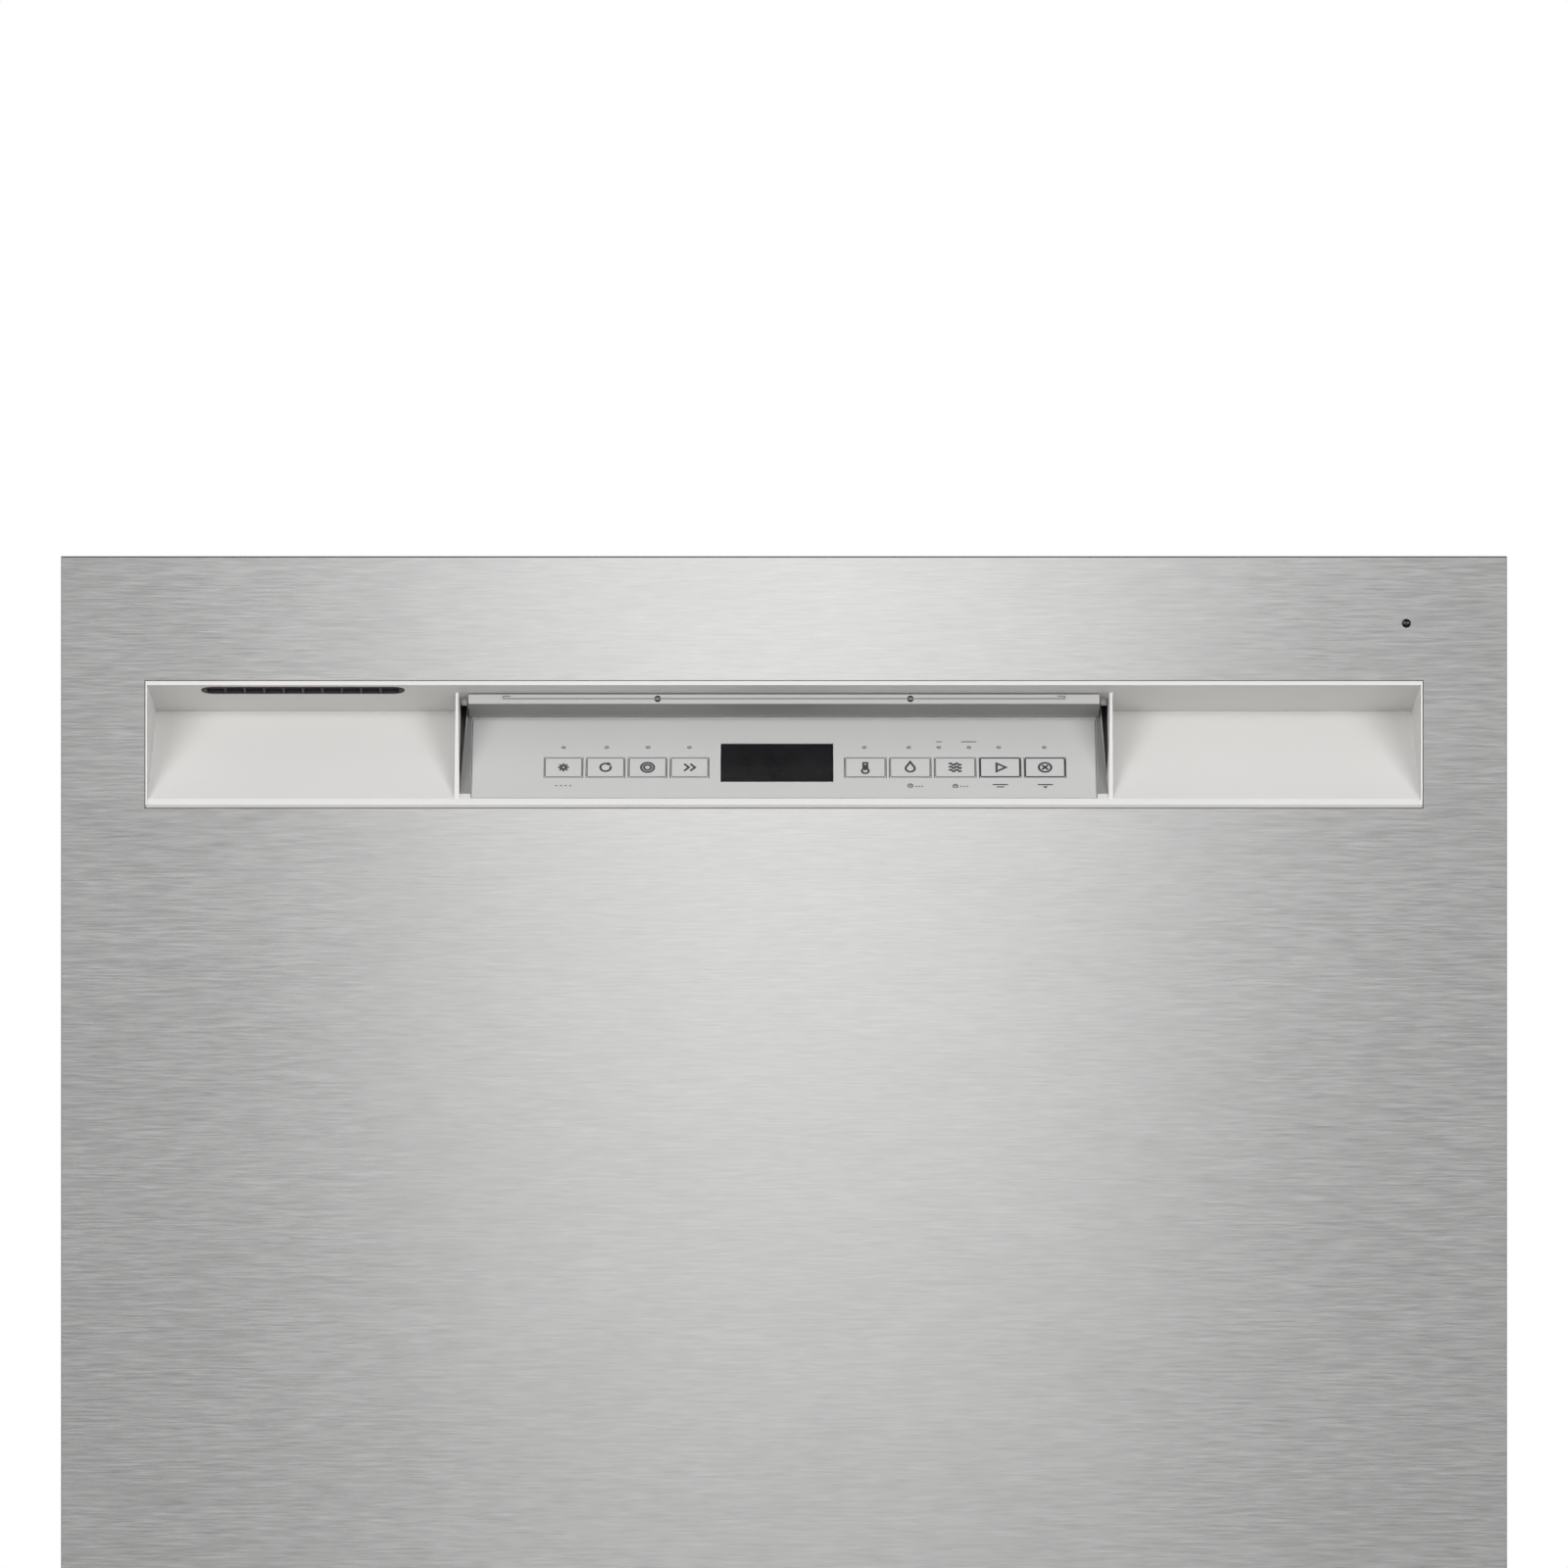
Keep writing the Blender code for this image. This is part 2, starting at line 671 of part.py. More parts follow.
def build_fascia():
    """Sloping control plate with openings for the keys, the display and the lamps."""
    fascia = flat_box("console_fascia", 2 * FASCIA_HALF, FASCIA_TALL - 4 * GAP, -FASCIA_THICK, 0,
                      fascia_grey())
    on_fascia(fascia, 0, FASCIA_MIDDLE, 0)
    windows = [(x, KEY_DROP, wide, KEY_TALL) for _, x, wide in keys()]
    windows.append((DISPLAY_X, DISPLAY_DROP, DISPLAY_WIDE, DISPLAY_TALL))
    through = 2 * FASCIA_THICK
    for x, down, wide, tall in windows:
        hole = flat_box("cutter", wide + 2 * GAP, tall + 2 * GAP, -through, through, dark_plastic())
        cut(fascia, on_fascia(hole, x, down, 0))
    for x in LAMPS_X:
        cut(fascia, on_fascia(drill(LAMP_RADIUS + GAP, -through, through, 8), x, LAMP_DROP, 0))
    return fascia


def build_keys():
    for name, x, wide in keys():
        key = flat_box(name, wide, KEY_TALL, KEY_PROUD - KEY_THICK, KEY_PROUD, key_grey())
        on_fascia(key, x, KEY_DROP, 0)


def build_display():
    glass = flat_box("display_window", DISPLAY_WIDE, DISPLAY_TALL, DISPLAY_SUNK - KEY_THICK, DISPLAY_SUNK,
                     display_glass())
    return on_fascia(glass, DISPLAY_X, DISPLAY_DROP, 0)


def build_light_guide():
    """One clear bar behind the fascia, with a peg that reaches through it for each lamp."""
    bar = box("indicator_light_guide", (LAMPS_X[0] - GUIDE_END, -GUIDE_HALF, GUIDE_BACK),
              (LAMPS_X[-1] + GUIDE_END, GUIDE_HALF, GUIDE_FRONT), lamp_plastic())
    on_fascia(bar, 0, LAMP_DROP, 0)
    for x in LAMPS_X:
        peg = rod("tool", LAMP_RADIUS, GUIDE_FRONT - LAMP_RADIUS, DISPLAY_SUNK, lamp_plastic(), 8)
        fuse(bar, on_fascia(peg, x, LAMP_DROP, 0))
    return bar


def build_control_board():
    board = flat_box("control_board", BOARD_WIDE, BOARD_TALL, BOARD_BACK, BOARD_FRONT, board_green())
    return on_fascia(board, 0, FASCIA_MIDDLE, 0)


def build_ledge():
    """Bar under the pocket's ceiling that covers the top of the fascia and takes two screws."""
    face = FRONT + GAP + LEDGE_DEPTH
    rear = FRONT + GAP + FASCIA_TOP_DEPTH - 0.0010
    rear_top = MOUTH_TOP + (rear - FRONT) * CEILING_SLOPE + 0.0006
    sunk = face + STRIP_SUNK
    outline = [(sunk, drop(LEDGE_TOP)), (sunk, drop(STRIP_BOTTOM)), (face, drop(STRIP_BOTTOM)),
               (face, drop(LEDGE_BOTTOM)), (rear, drop(FASCIA_TOP - 0.0008)), (rear, drop(rear_top))]
    ledge = along_x("console_ledge", outline, -LEDGE_HALF, LEDGE_HALF, fascia_grey())
    fuse_box(ledge, (-STRIP_HALF, face + 0.0001, drop(STRIP_BOTTOM + 0.0005)),
             (STRIP_HALF, face + 0.001, drop(LEDGE_TOP + 0.0001)))
    for x in (-LEDGE_SCREW_X, LEDGE_SCREW_X):
        hole = drill(LEDGE_SCREW_RADIUS + GAP, -0.004, 0.006, 12)
        cut(ledge, place(hole, (x, face, drop(LEDGE_SCREW_DROP)), TURN_TO_Y_INWARD))
    return ledge


def build_ledge_screws():
    for name, x in (("ledge_screw_left", -LEDGE_SCREW_X), ("ledge_screw_right", LEDGE_SCREW_X)):
        screw = turned(name, [(0, -0.0001), (LEDGE_SCREW_RADIUS - GAP, -0.0001), (LEDGE_SCREW_RADIUS, 0.0002),
                              (LEDGE_SCREW_RADIUS, LEDGE_SCREW_LONG), (0, LEDGE_SCREW_LONG)], tub_steel(), 12)
        place(screw, (x, FRONT + LEDGE_DEPTH + GAP, drop(LEDGE_SCREW_DROP)), TURN_TO_Y_INWARD)


# ---- Inside of the door ----

def build_liner():
    """Steel inner door, pressed in to a shallow dish, with openings for the dispenser and the strike."""
    half = DOOR_HALF - FRAME_WALL - GAP
    liner = box("door_inner_liner", (-half, DOOR_INNER - LINER, DOOR_BOTTOM + 0.002),
                (half, DOOR_INNER, DOOR_TOP - FRAME_WALL - GAP), tub_steel())
    bottom = DOOR_INNER - LINER - DISH_DEPTH
    fuse_box(liner, (-DISH_HALF - LINER, bottom, DISH_LOW - LINER),
             (DISH_HALF + LINER, DOOR_INNER - LINER / 2, DISH_HIGH + LINER))
    cut_box(liner, (-DISH_HALF, bottom + LINER, DISH_LOW), (DISH_HALF, 0, DISH_HIGH))
    side = DISPENSER_HALF + GAP
    cut_box(liner, (-side, -1, DISPENSER_LOW - GAP), (side, 1, DISPENSER_HIGH + GAP))
    cut_box(liner, (-STRIKE_HALF - STRIKE_ROOM, -1, STRIKE_LOW), (STRIKE_HALF + STRIKE_ROOM, 1, STRIKE_HIGH))
    for side in (-1, 1):
        ends = sorted((side * (BRACKET_INNER - BRACKET_ROOM), side * WIDTH))
        cut_box(liner, (ends[0], -1, 0), (ends[1], 1, PIVOT_Z + 2 * BRACKET_HALF_TALL))
    return liner


def build_bottom_seal():
    """Rubber strip along the foot of the liner that closes on the tub's lip."""
    near = DOOR_INNER + GAP
    far = TUB_FRONT - GAP
    middle = (near + far) / 2
    outline = [(near, SEAL_LOW), (middle, SEAL_LOW), (far, SEAL_LOW + SEAL_TAPER),
               (far, SEAL_HIGH - SEAL_TAPER), (middle, SEAL_HIGH), (near, SEAL_HIGH)]
    return along_x("door_bottom_seal", outline, -SEAL_HALF, SEAL_HALF, black_rubber())


def build_dispenser():
    """Dispenser body with a detergent cup and a round seat for the rinse-aid cap."""
    body = box("dispenser_housing", (-DISPENSER_HALF, DISPENSER_FRONT, DISPENSER_LOW),
               (DISPENSER_HALF, DISPENSER_FACE, DISPENSER_HIGH), pale_plastic())
    cut_box(body, (CUP_LEFT, DISPENSER_FACE - CUP_DEPTH, CUP_LOW), (CUP_RIGHT, 0, CUP_HIGH))
    seat = drill(CAP_RADIUS + 0.0005, -0.02, 0.0078)
    return cut(body, place(seat, (CAP_X, DISPENSER_FACE, CAP_Z), TURN_TO_Y_OUTWARD))


def build_detergent_lid():
    """Cover that slides up off the detergent cup, with a thumb ridge."""
    face = DISPENSER_FACE
    lid = box("detergent_lid", (CUP_LEFT - LID_LAP_SIDE, face + GAP, CUP_LOW - LID_LAP),
              (CUP_RIGHT + LID_LAP_SIDE, face + LID_THICK, CUP_HIGH + LID_LAP), pale_plastic())
    return fuse_box(lid, (CUP_LEFT + 0.015, face + LID_THICK / 2, CUP_LOW),
                    (CUP_RIGHT - 0.015, face + LID_RIDGE, CUP_LOW + LID_RIDGE))


def build_rinse_cap():
    """Quarter-turn cap with a finger bar, turning about Y."""
    cap = rod("rinse_aid_cap", CAP_RADIUS, -0.0010, 0.0070, grey_plastic())
    place(cap, (CAP_X, DISPENSER_FACE, CAP_Z), TURN_TO_Y_OUTWARD)
    return fuse_box(cap, (CAP_X - CAP_BAR_HALF, DISPENSER_FACE, CAP_Z - 0.002),
                    (CAP_X + CAP_BAR_HALF, DISPENSER_FACE + 0.0035, CAP_Z + 0.002))


def build_door_latch():
    """Sprung catch in the top of the door, just under the strike."""
    outline = [(-0.286, 0.812), (-0.264, 0.812), (-0.264, 0.828), (-0.270, 0.8365), (-0.278, 0.8365),
               (-0.286, 0.830)]
    return along_x("door_latch", outline, -0.012, 0.012, grey_plastic())


def build_hinge_arms():
    """Flat arms inside the door's sides, turning on the pins of the base."""
    for name, side in (("hinge_arm_left", -1), ("hinge_arm_right", 1)):
        radius = 0.010
        round_end = circle(radius, 9, (PIVOT_Y, PIVOT_Z), math.pi, math.pi)
        outline = round_end + [(PIVOT_Y + ARM_REACH, ARM_TOP / 2 + 0.025), (PIVOT_Y + ARM_REACH, ARM_TOP),
                               (PIVOT_Y - radius, ARM_TOP)]
        start, end = sorted((side * ARM_INNER, side * (ARM_INNER + ARM_THICK)))
        arm = along_x(name, outline, start, end, galvanised_steel())
        hole = drill(PIN_RADIUS + GAP, -0.02, 0.02, 16)
        cut(arm, place(hole, (side * ARM_INNER, PIVOT_Y, PIVOT_Z), TURN_TO_X))


# ---- Tub and what is fixed to it ----

def build_tub():
    """Steel wash tub with a flanged mouth, a ledge along each side and the door's strike on its roof."""
    tub = box("tub", (-TUB_HALF, TUB_FRONT, TUB_LOW), (TUB_HALF, TUB_BACK, TUB_HIGH), tub_steel())
    fuse_box(tub, (-FLANGE_HALF, TUB_FRONT, FLANGE_LOW), (FLANGE_HALF, TUB_FRONT + FLANGE_THICK, FLANGE_HIGH))
    inner = TUB_HALF - TUB_WALL
    cut_box(tub, (-inner, -1, LEDGE_Z), (inner, TUB_BACK - TUB_WALL, TUB_HIGH - TUB_WALL))
    cut_box(tub, (-LEDGE_X, WELL_FRONT, FLOOR_Z), (LEDGE_X, TUB_BACK - TUB_WALL, LEDGE_Z + TUB_WALL))
    for radius, y in ((TOWER_HOLE, HUB_Y), (FILTER_RADIUS + 0.0015, FILTER_Y)):
        cut(tub, place(drill(radius, 0, LEDGE_Z), (0, y, 0)))
    strike = [(-0.240, 0.8377), (-0.271, 0.8377), (-0.273, 0.8397), (-0.271, 0.8417), (-0.2505, 0.8417),
              (-0.2505, 0.8430), (-0.240, 0.8430)]
    return fuse(tub, along_x("tool", strike, -STRIKE_HALF, STRIKE_HALF, tub_steel()))


def build_gasket():
    """Rubber seal on the flange, up both sides and over the top."""
    near = DOOR_INNER + 2 * GAP
    far = TUB_FRONT - GAP
    gasket = box("tub_gasket", (-GASKET_OUTER, near, GASKET_LOW), (GASKET_OUTER, far, GASKET_HIGH),
                 black_rubber())
    return cut_box(gasket, (-GASKET_INNER, -1, 0), (GASKET_INNER, 1, GASKET_CROWN))


def build_mount_brackets():
    """Folded tabs on the roof of the tub that screw up into the underside of the worktop."""
    low = TUB_HIGH + GAP
    near = TUB_FRONT + FLANGE_THICK + GAP
    bend = near + TAB_THICK
    foot = near + TAB_FOOT
    head = near + TAB_HEAD
    outline = [(near, low), (foot, low), (foot, low + TAB_THICK), (bend, low + TAB_THICK),
               (bend, HEIGHT - TAB_THICK), (head, HEIGHT - TAB_THICK), (head, HEIGHT), (near, HEIGHT)]
    for name, x in (("mount_bracket_left", -TAB_X), ("mount_bracket_right", TAB_X)):
        bracket = along_x(name, outline, x - TAB_HALF, x + TAB_HALF, galvanised_steel())
        for dx in (-0.012, 0.012):
            hole = drill(0.0025, -2 * TAB_THICK, TAB_THICK, 10)
            cut(bracket, place(hole, (x + dx, near + 0.026, HEIGHT)))


def build_rails():
    """Channels that carry the upper rack along the sides of the tub."""
    for name, side in (("rack_rail_left", -1), ("rack_rail_right", 1)):
        start, end = sorted((side * RAIL_INNER, side * RAIL_OUTER))
        rail = box(name, (start, RAIL_FRONT, RAIL_LOW), (end, RAIL_BACK, RAIL_HIGH), galvanised_steel())
        groove = sorted((side * (RAIL_INNER - RAIL_WALL), side * (RAIL_OUTER - RAIL_WALL)))
        cut_box(rail, (groove[0], -1, RAIL_LOW + RAIL_WALL),
                (groove[1], RAIL_BACK - RAIL_WALL, RAIL_HIGH - RAIL_WALL))


def build_sump():
    """Basin under the tub floor with the tower that feeds the lower spray arm."""
    sump = box("sump", (-SUMP_HALF, SUMP_FRONT, SUMP_LOW), (SUMP_HALF, SUMP_BACK, TUB_LOW - GAP),
               grey_plastic())
    inner = SUMP_HALF - SUMP_WALL
    cut_box(sump, (-inner, SUMP_FRONT + SUMP_WALL, SUMP_LOW + SUMP_WALL), (inner, SUMP_BACK - SUMP_WALL, 1))
    root = SUMP_LOW + SUMP_WALL / 2
    tower = turned("tool", [(0, root), (0.020, root), (0.018, TOWER_TOP), (0, TOWER_TOP)], grey_plastic(), 16)
    return fuse(sump, place(tower, (0, HUB_Y, 0)))


def build_filter():
    """Twist-out filter cup with a finger bar across its top."""
    r = FILTER_RADIUS
    cup = turned("filter_cup", [(0, 0.085), (0.030, 0.085), (r - 0.004, 0.147), (r, 0.147), (r, 0.152),
                                (r - 0.008, 0.152), (0.027, 0.088), (0, 0.088)], grey_plastic())
    place(cup, (0, FILTER_Y, 0))
    return fuse_box(cup, (-0.037, FILTER_Y - 0.004, 0.146), (0.037, FILTER_Y + 0.004, 0.160))


def spray_arm(name, radius, low, high, hub_low, hub_high, hub_radius):
    """A flat arm with rounded tips and a hub, turning about Z."""
    width = 0.021
    right = circle(width * 0.8, 7, (radius - width * 0.8, 0), -math.pi / 2, math.pi)
    left = circle(width * 0.8, 7, (width * 0.8 - radius, 0), math.pi / 2, math.pi)
    outline = [(0.045, -width)] + right + [(0.045, width), (-0.045, width)] + left + [(-0.045, -width)]
    inset = [(x * 0.985, y * 0.80) for x, y in outline]
    rings = [[(x, y, z) for x, y in ring] for ring, z in ((inset, low), (outline, low + 0.003),
                                                         (outline, high - 0.004), (inset, high))]
    arm = lofted(name, rings, grey_plastic(), smooth=True)
    hub = rod("tool", hub_radius, hub_low, hub_high, grey_plastic(), 16)
    place(arm, (0, HUB_Y, 0))
    return fuse(arm, place(hub, (0, HUB_Y, 0)))


def build_heater():
    """Bare heating loop just above the tub floor, with two legs at the back."""
    loop = [(0.205 * math.sin(a), HUB_Y - 0.160 * math.cos(a), 0.172)
            for a in [math.radians(-150 + 15 * i) for i in range(21)]]
    legs = [(x, y + 0.006, FLOOR_Z + 0.001) for x, y, _ in (loop[0], loop[-1])]
    return tube("heating_element", legs[:1] + loop + legs[1:], 0.0038, heater_metal())


def build_manifold():
    """Feed pipe along the tub floor and up the back wall to the upper rack."""
    corner = 0.290
    points = [(0, 0.172, 0.1585), (0, corner - 0.015, 0.1585), (0, corner - 0.004, 0.1625),
              (0, corner, 0.174), (0, corner, FEED_Z - 0.016), (0, corner - 0.004, FEED_Z - 0.004),
              (0, corner - 0.015, FEED_Z),
              (0, 0.2345, FEED_Z)]
    return tube("spray_manifold", points, 0.0095, grey_plastic(), 10)


def build_float():
    """Dome that rises with the water and stops an overfill."""
    dome = turned("float_cap", [(0, 0.1484), (0.019, 0.1484), (0.020, 0.176), (0.015, 0.184), (0, 0.186)],
                  grey_plastic(), 16)
    return place(dome, (-0.170, -0.185, 0))


# ---- Base and machinery ----

def build_base():
    """Base tray with a hole for each foot stem and a bracket and pin for each door hinge."""
    base = box("base_frame", (-BASE_HALF, BASE_FRONT, BASE_LOW), (BASE_HALF, BACK, TUB_LOW - GAP),
               dark_plastic())
    cut_box(base, (BASE_WALL - BASE_HALF, BASE_FRONT + BASE_WALL, BASE_LOW + 0.003),
            (BASE_HALF - BASE_WALL, BACK - BASE_WALL, 1))
    for x, y in foot_places():
        fuse(base, place(rod("tool", BOSS_RADIUS, BASE_LOW + 0.001, BOSS_TOP, dark_plastic(), 12), (x, y, 0)))
        cut(base, place(drill(STEM_RADIUS + GAP, 0, STEM_TOP + 0.002, 12), (x, y, 0)))
    for side in (-1, 1):
        round_end = circle(BRACKET_HALF_TALL, 9, (PIVOT_Y, PIVOT_Z), -math.pi / 2, -math.pi)
        outline = round_end + [(BRACKET_BACK, PIVOT_Z + BRACKET_HALF_TALL),
                               (BRACKET_BACK, PIVOT_Z - BRACKET_HALF_TALL)]
        start, end = sorted((side * BRACKET_INNER, side * (BRACKET_INNER + BRACKET_THICK)))
        fuse(base, along_x("tool", outline, start, end, dark_plastic()))
        pin = rod("tool", PIN_RADIUS, -0.002, 0.0065, dark_plastic(), 16)
        turn = TURN_TO_X if side > 0 else Matrix.Rotation(math.radians(-90), 4, "Y")
        fuse(base, place(pin, (side * (BRACKET_INNER + BRACKET_THICK), PIVOT_Y, PIVOT_Z), turn))
    outlet = drill(DRAIN_RADIUS + 0.0005, -0.02, 0.02, 14)
    return cut(base, place(outlet, (DRAIN_X, BACK, DRAIN_Z), TURN_TO_Y_INWARD))


def foot_places():
    return [(x, y) for y in FOOT_YS for x in (-FOOT_X, FOOT_X)]


def build_feet():
    """Screw feet, shown turned fully in."""
    names = ("foot_front_left", "foot_front_right", "foot_back_left", "foot_back_right")
    for name, (x, y) in zip(names, foot_places()):
        foot = turned(name, [(0, 0), (FOOT_RADIUS - 0.002, 0), (FOOT_RADIUS, 0.003), (FOOT_RADIUS, 0.008),
                             (STEM_RADIUS, 0.014), (STEM_RADIUS, STEM_TOP), (0, STEM_TOP)],
                      grey_plastic(), 14)
        place(foot, (x, y, 0))


def build_toe_kick():
    """Kick plate below the door, folded back along its foot."""
    inner = TOE_FRONT + TOE_THICK
    fold = TOE_FRONT + TOE_FOLD
    lip = TOE_LOW + TOE_THICK
    outline = [(TOE_FRONT, TOE_LOW), (fold, TOE_LOW), (fold, lip), (inner, lip), (inner, TOE_HIGH),
               (TOE_FRONT, TOE_HIGH)]
    return along_x("toe_kick_panel", outline, -TOE_HALF, TOE_HALF, dark_plastic())


def build_wash_pump():
    """Circulation motor lying on its side beside the sump."""
    profile = [(0, 0), (0.030, 0), (0.042, 0.008), (0.042, 0.030), (0.034, 0.034), (0.034, 0.100),
               (0.026, 0.108), (0, 0.108)]
    pump = turned("wash_pump", profile, dark_plastic(), 16)
    return place(pump, (-SUMP_HALF - 0.0005, 0.085, 0.082), Matrix.Rotation(math.radians(-90), 4, "Y"))


def build_drain_pump():
    """Drain pump with its outlet pipe led to the back of the base."""
    profile = [(0, 0), (0.026, 0), (0.026, 0.040), (0.020, 0.050), (0, 0.050)]
    pump = turned("drain_pump", profile, dark_plastic(), 14)
    place(pump, (SUMP_HALF + 0.0005, 0.040, DRAIN_Z + 0.005), TURN_TO_X)
    points = [(0.095, 0.060, DRAIN_Z), (0.130, 0.075, DRAIN_Z), (0.180, 0.110, DRAIN_Z),
              (DRAIN_X, 0.150, DRAIN_Z), (DRAIN_X, BACK, DRAIN_Z)]
    return fuse(pump, tube("tool", points, DRAIN_RADIUS, dark_plastic(), 10))


def build_inlet_valve():
    """Solenoid water valve behind the toe kick, at the left."""
    valve = box("inlet_valve", (-0.235, -0.215, 0.036), (-0.195, -0.150, 0.080), pale_plastic())
    coil = rod("tool", 0.014, 0.078, 0.108, pale_plastic(), 14)
    return fuse(valve, place(coil, (-0.215, -0.175, 0)))


def build_junction_box():
    """Wiring box behind the toe kick, at the right, with an open cable gland in its back."""
    case = box("junction_box", (0.155, -0.222, 0.030), (0.230, -0.160, 0.092), galvanised_steel())
    cut_box(case, (0.157, -0.220, 0.032), (0.228, -0.162, 0.090))
    gland = drill(0.011, -0.01, 0.01, 14)
    return cut(case, place(gland, (0.1925, -0.161, 0.060), TURN_TO_Y_INWARD))


# ---- Racks ----

def wire_rack(name, half, front, back, floor, rim, across, along, high):
    """An open basket of welded wire: a grid for its floor and its four sides."""
    work = bmesh.new()
    corner = {}

    def point(i, j, k):
        spot = (i, j, k)
        if spot not in corner:
            corner[spot] = work.verts.new((-half + 2 * half * i / across, front + (back - front) * j / along,
                                           floor + (rim - floor) * k / high))
        return corner[spot]

    for i in range(across):
        for j in range(along):
            work.faces.new((point(i, j, 0), point(i + 1, j, 0), point(i + 1, j + 1, 0), point(i, j + 1, 0)))
        for k in range(high):
            for j in (0, along):
                work.faces.new((point(i, j, k), point(i + 1, j, k), point(i + 1, j, k + 1),
                                point(i, j, k + 1)))
    for j in range(along):
        for k in range(high):
            for i in (0, across):
                work.faces.new((point(i, j, k), point(i, j + 1, k), point(i, j + 1, k + 1),
                                point(i, j, k + 1)))
    rack = as_object(name, work, coated_wire())
    wires = rack.modifiers.new("wires", "WIREFRAME")
    wires.thickness = WIRE
    wires.use_even_offset = False
    wires.use_boundary = True
    return rack


def build_racks():
    wire_rack("lower_rack", LOWER_HALF, LOWER_FRONT, LOWER_BACK, LOWER_FLOOR, LOWER_RIM, 6, 6, 2)
    wire_rack("upper_rack", UPPER_HALF, UPPER_FRONT, UPPER_BACK, UPPER_FLOOR, UPPER_RIM, 6, 6, 2)


def build_basket():
    """Silverware basket with open cells, standing on the floor of the lower rack."""
    low = LOWER_FLOOR + 0.0030
    wall = BASKET_WALL
    basket = box("silverware_basket", (BASKET_LEFT, BASKET_FRONT, low),
                 (BASKET_RIGHT, BASKET_BACK, BASKET_HIGH), grey_plastic())
    length = (BASKET_BACK - BASKET_FRONT - wall) / BASKET_ROWS
    middle = (BASKET_LEFT + BASKET_RIGHT) / 2
    for x0, x1 in ((BASKET_LEFT + wall, middle - wall / 2), (middle + wall / 2, BASKET_RIGHT - wall)):
        for row in range(BASKET_ROWS):
            start = BASKET_FRONT + wall + row * length
            cut_box(basket, (x0, start, low + wall), (x1, start + length - wall, 1))
    return basket


def build_wheels():
    """Rollers of the lower rack, each with a stub axle."""
    names = ("wheel_front_left", "wheel_front_right", "wheel_back_left", "wheel_back_right")
    for name, (y, side) in zip(names, [(y, side) for y in WHEEL_YS for side in (-1, 1)]):
        wheel = turned(name, [(0, -0.0060), (0.003, -0.0060), (0.003, 0), (WHEEL_RADIUS - 0.001, 0),
                              (WHEEL_RADIUS, 0.001), (WHEEL_RADIUS, 0.010), (WHEEL_RADIUS - 0.001, 0.011),
                              (0, 0.011)], grey_plastic(), 18)
        turn = Matrix.Rotation(math.radians(90 * side), 4, "Y")
        place(wheel, (side * WHEEL_X, y, LEDGE_Z + GAP + WHEEL_RADIUS), turn)


def build_feed_tube():
    """Pipe under the upper rack that brings water to its spray arm."""
    points = [(0, 0.2325, FEED_Z), (0, HUB_Y + 0.012, FEED_Z), (0, HUB_Y + 0.001, FEED_Z - 0.004),
              (0, HUB_Y, FEED_Z - 0.0110)]
    return tube("upper_feed_tube", points, 0.0090, grey_plastic(), 10)


# ---- The whole machine ----

def clear_scene():
    for old in list(bpy.data.objects):
        bpy.data.objects.remove(old)


def build_door():
    build_outer_panel()
    build_edge_frame()
    build_status_lens()
    build_handle_pocket()
    build_vent_grille()
    build_fascia()
    build_keys()
    build_display()
    build_light_guide()
    build_control_board()
    build_ledge()
    build_ledge_screws()
    build_liner()
    build_bottom_seal()
    build_dispenser()
    build_detergent_lid()
    build_rinse_cap()
    build_door_latch()
    build_hinge_arms()
    hang(seen_pieces(), "door_hinge_axis", (0, PIVOT_Y, PIVOT_Z))


def seen_pieces():
    """Names of the pieces so far that aren't Boolean tools and hang from nothing."""
    meshes = [made for made in bpy.data.objects if made.type == "MESH"]
    return [made.name for made in meshes if not (made.hide_render or made.parent)]


def build_cabinet():
    build_tub()
    build_gasket()
    build_mount_brackets()
    build_rails()
    build_sump()
    build_filter()
    build_heater()
    build_manifold()
    build_float()
    build_base()
    build_feet()
    build_toe_kick()
    build_wash_pump()
    build_drain_pump()
    build_inlet_valve()
    build_junction_box()
    spray_arm("lower_spray_arm", 0.215, 0.184, 0.196, 0.1810, 0.198, 0.019)


def build_inside():
    build_racks()
    build_basket()
    build_wheels()
    build_feed_tube()
    spray_arm("upper_spray_arm", 0.200, 0.458, 0.470, 0.456, 0.4740, 0.014)
    upper = ("upper_rack", "upper_feed_tube", "upper_spray_arm")
    hang(upper, "upper_rack_slide_axis", (0, UPPER_FRONT, UPPER_FLOOR))
    wheels = [made.name for made in bpy.data.objects if made.name.startswith("wheel_")]
    hang(["lower_rack", "silverware_basket"] + wheels, "lower_rack_slide_axis", (0, LOWER_FRONT, LOWER_FLOOR))


clear_scene()
build_door()
build_cabinet()
build_inside()
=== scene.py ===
"""Looks of the built-in dishwasher: materials, fine wire racks, printed marks, studio and camera."""
import json
import math

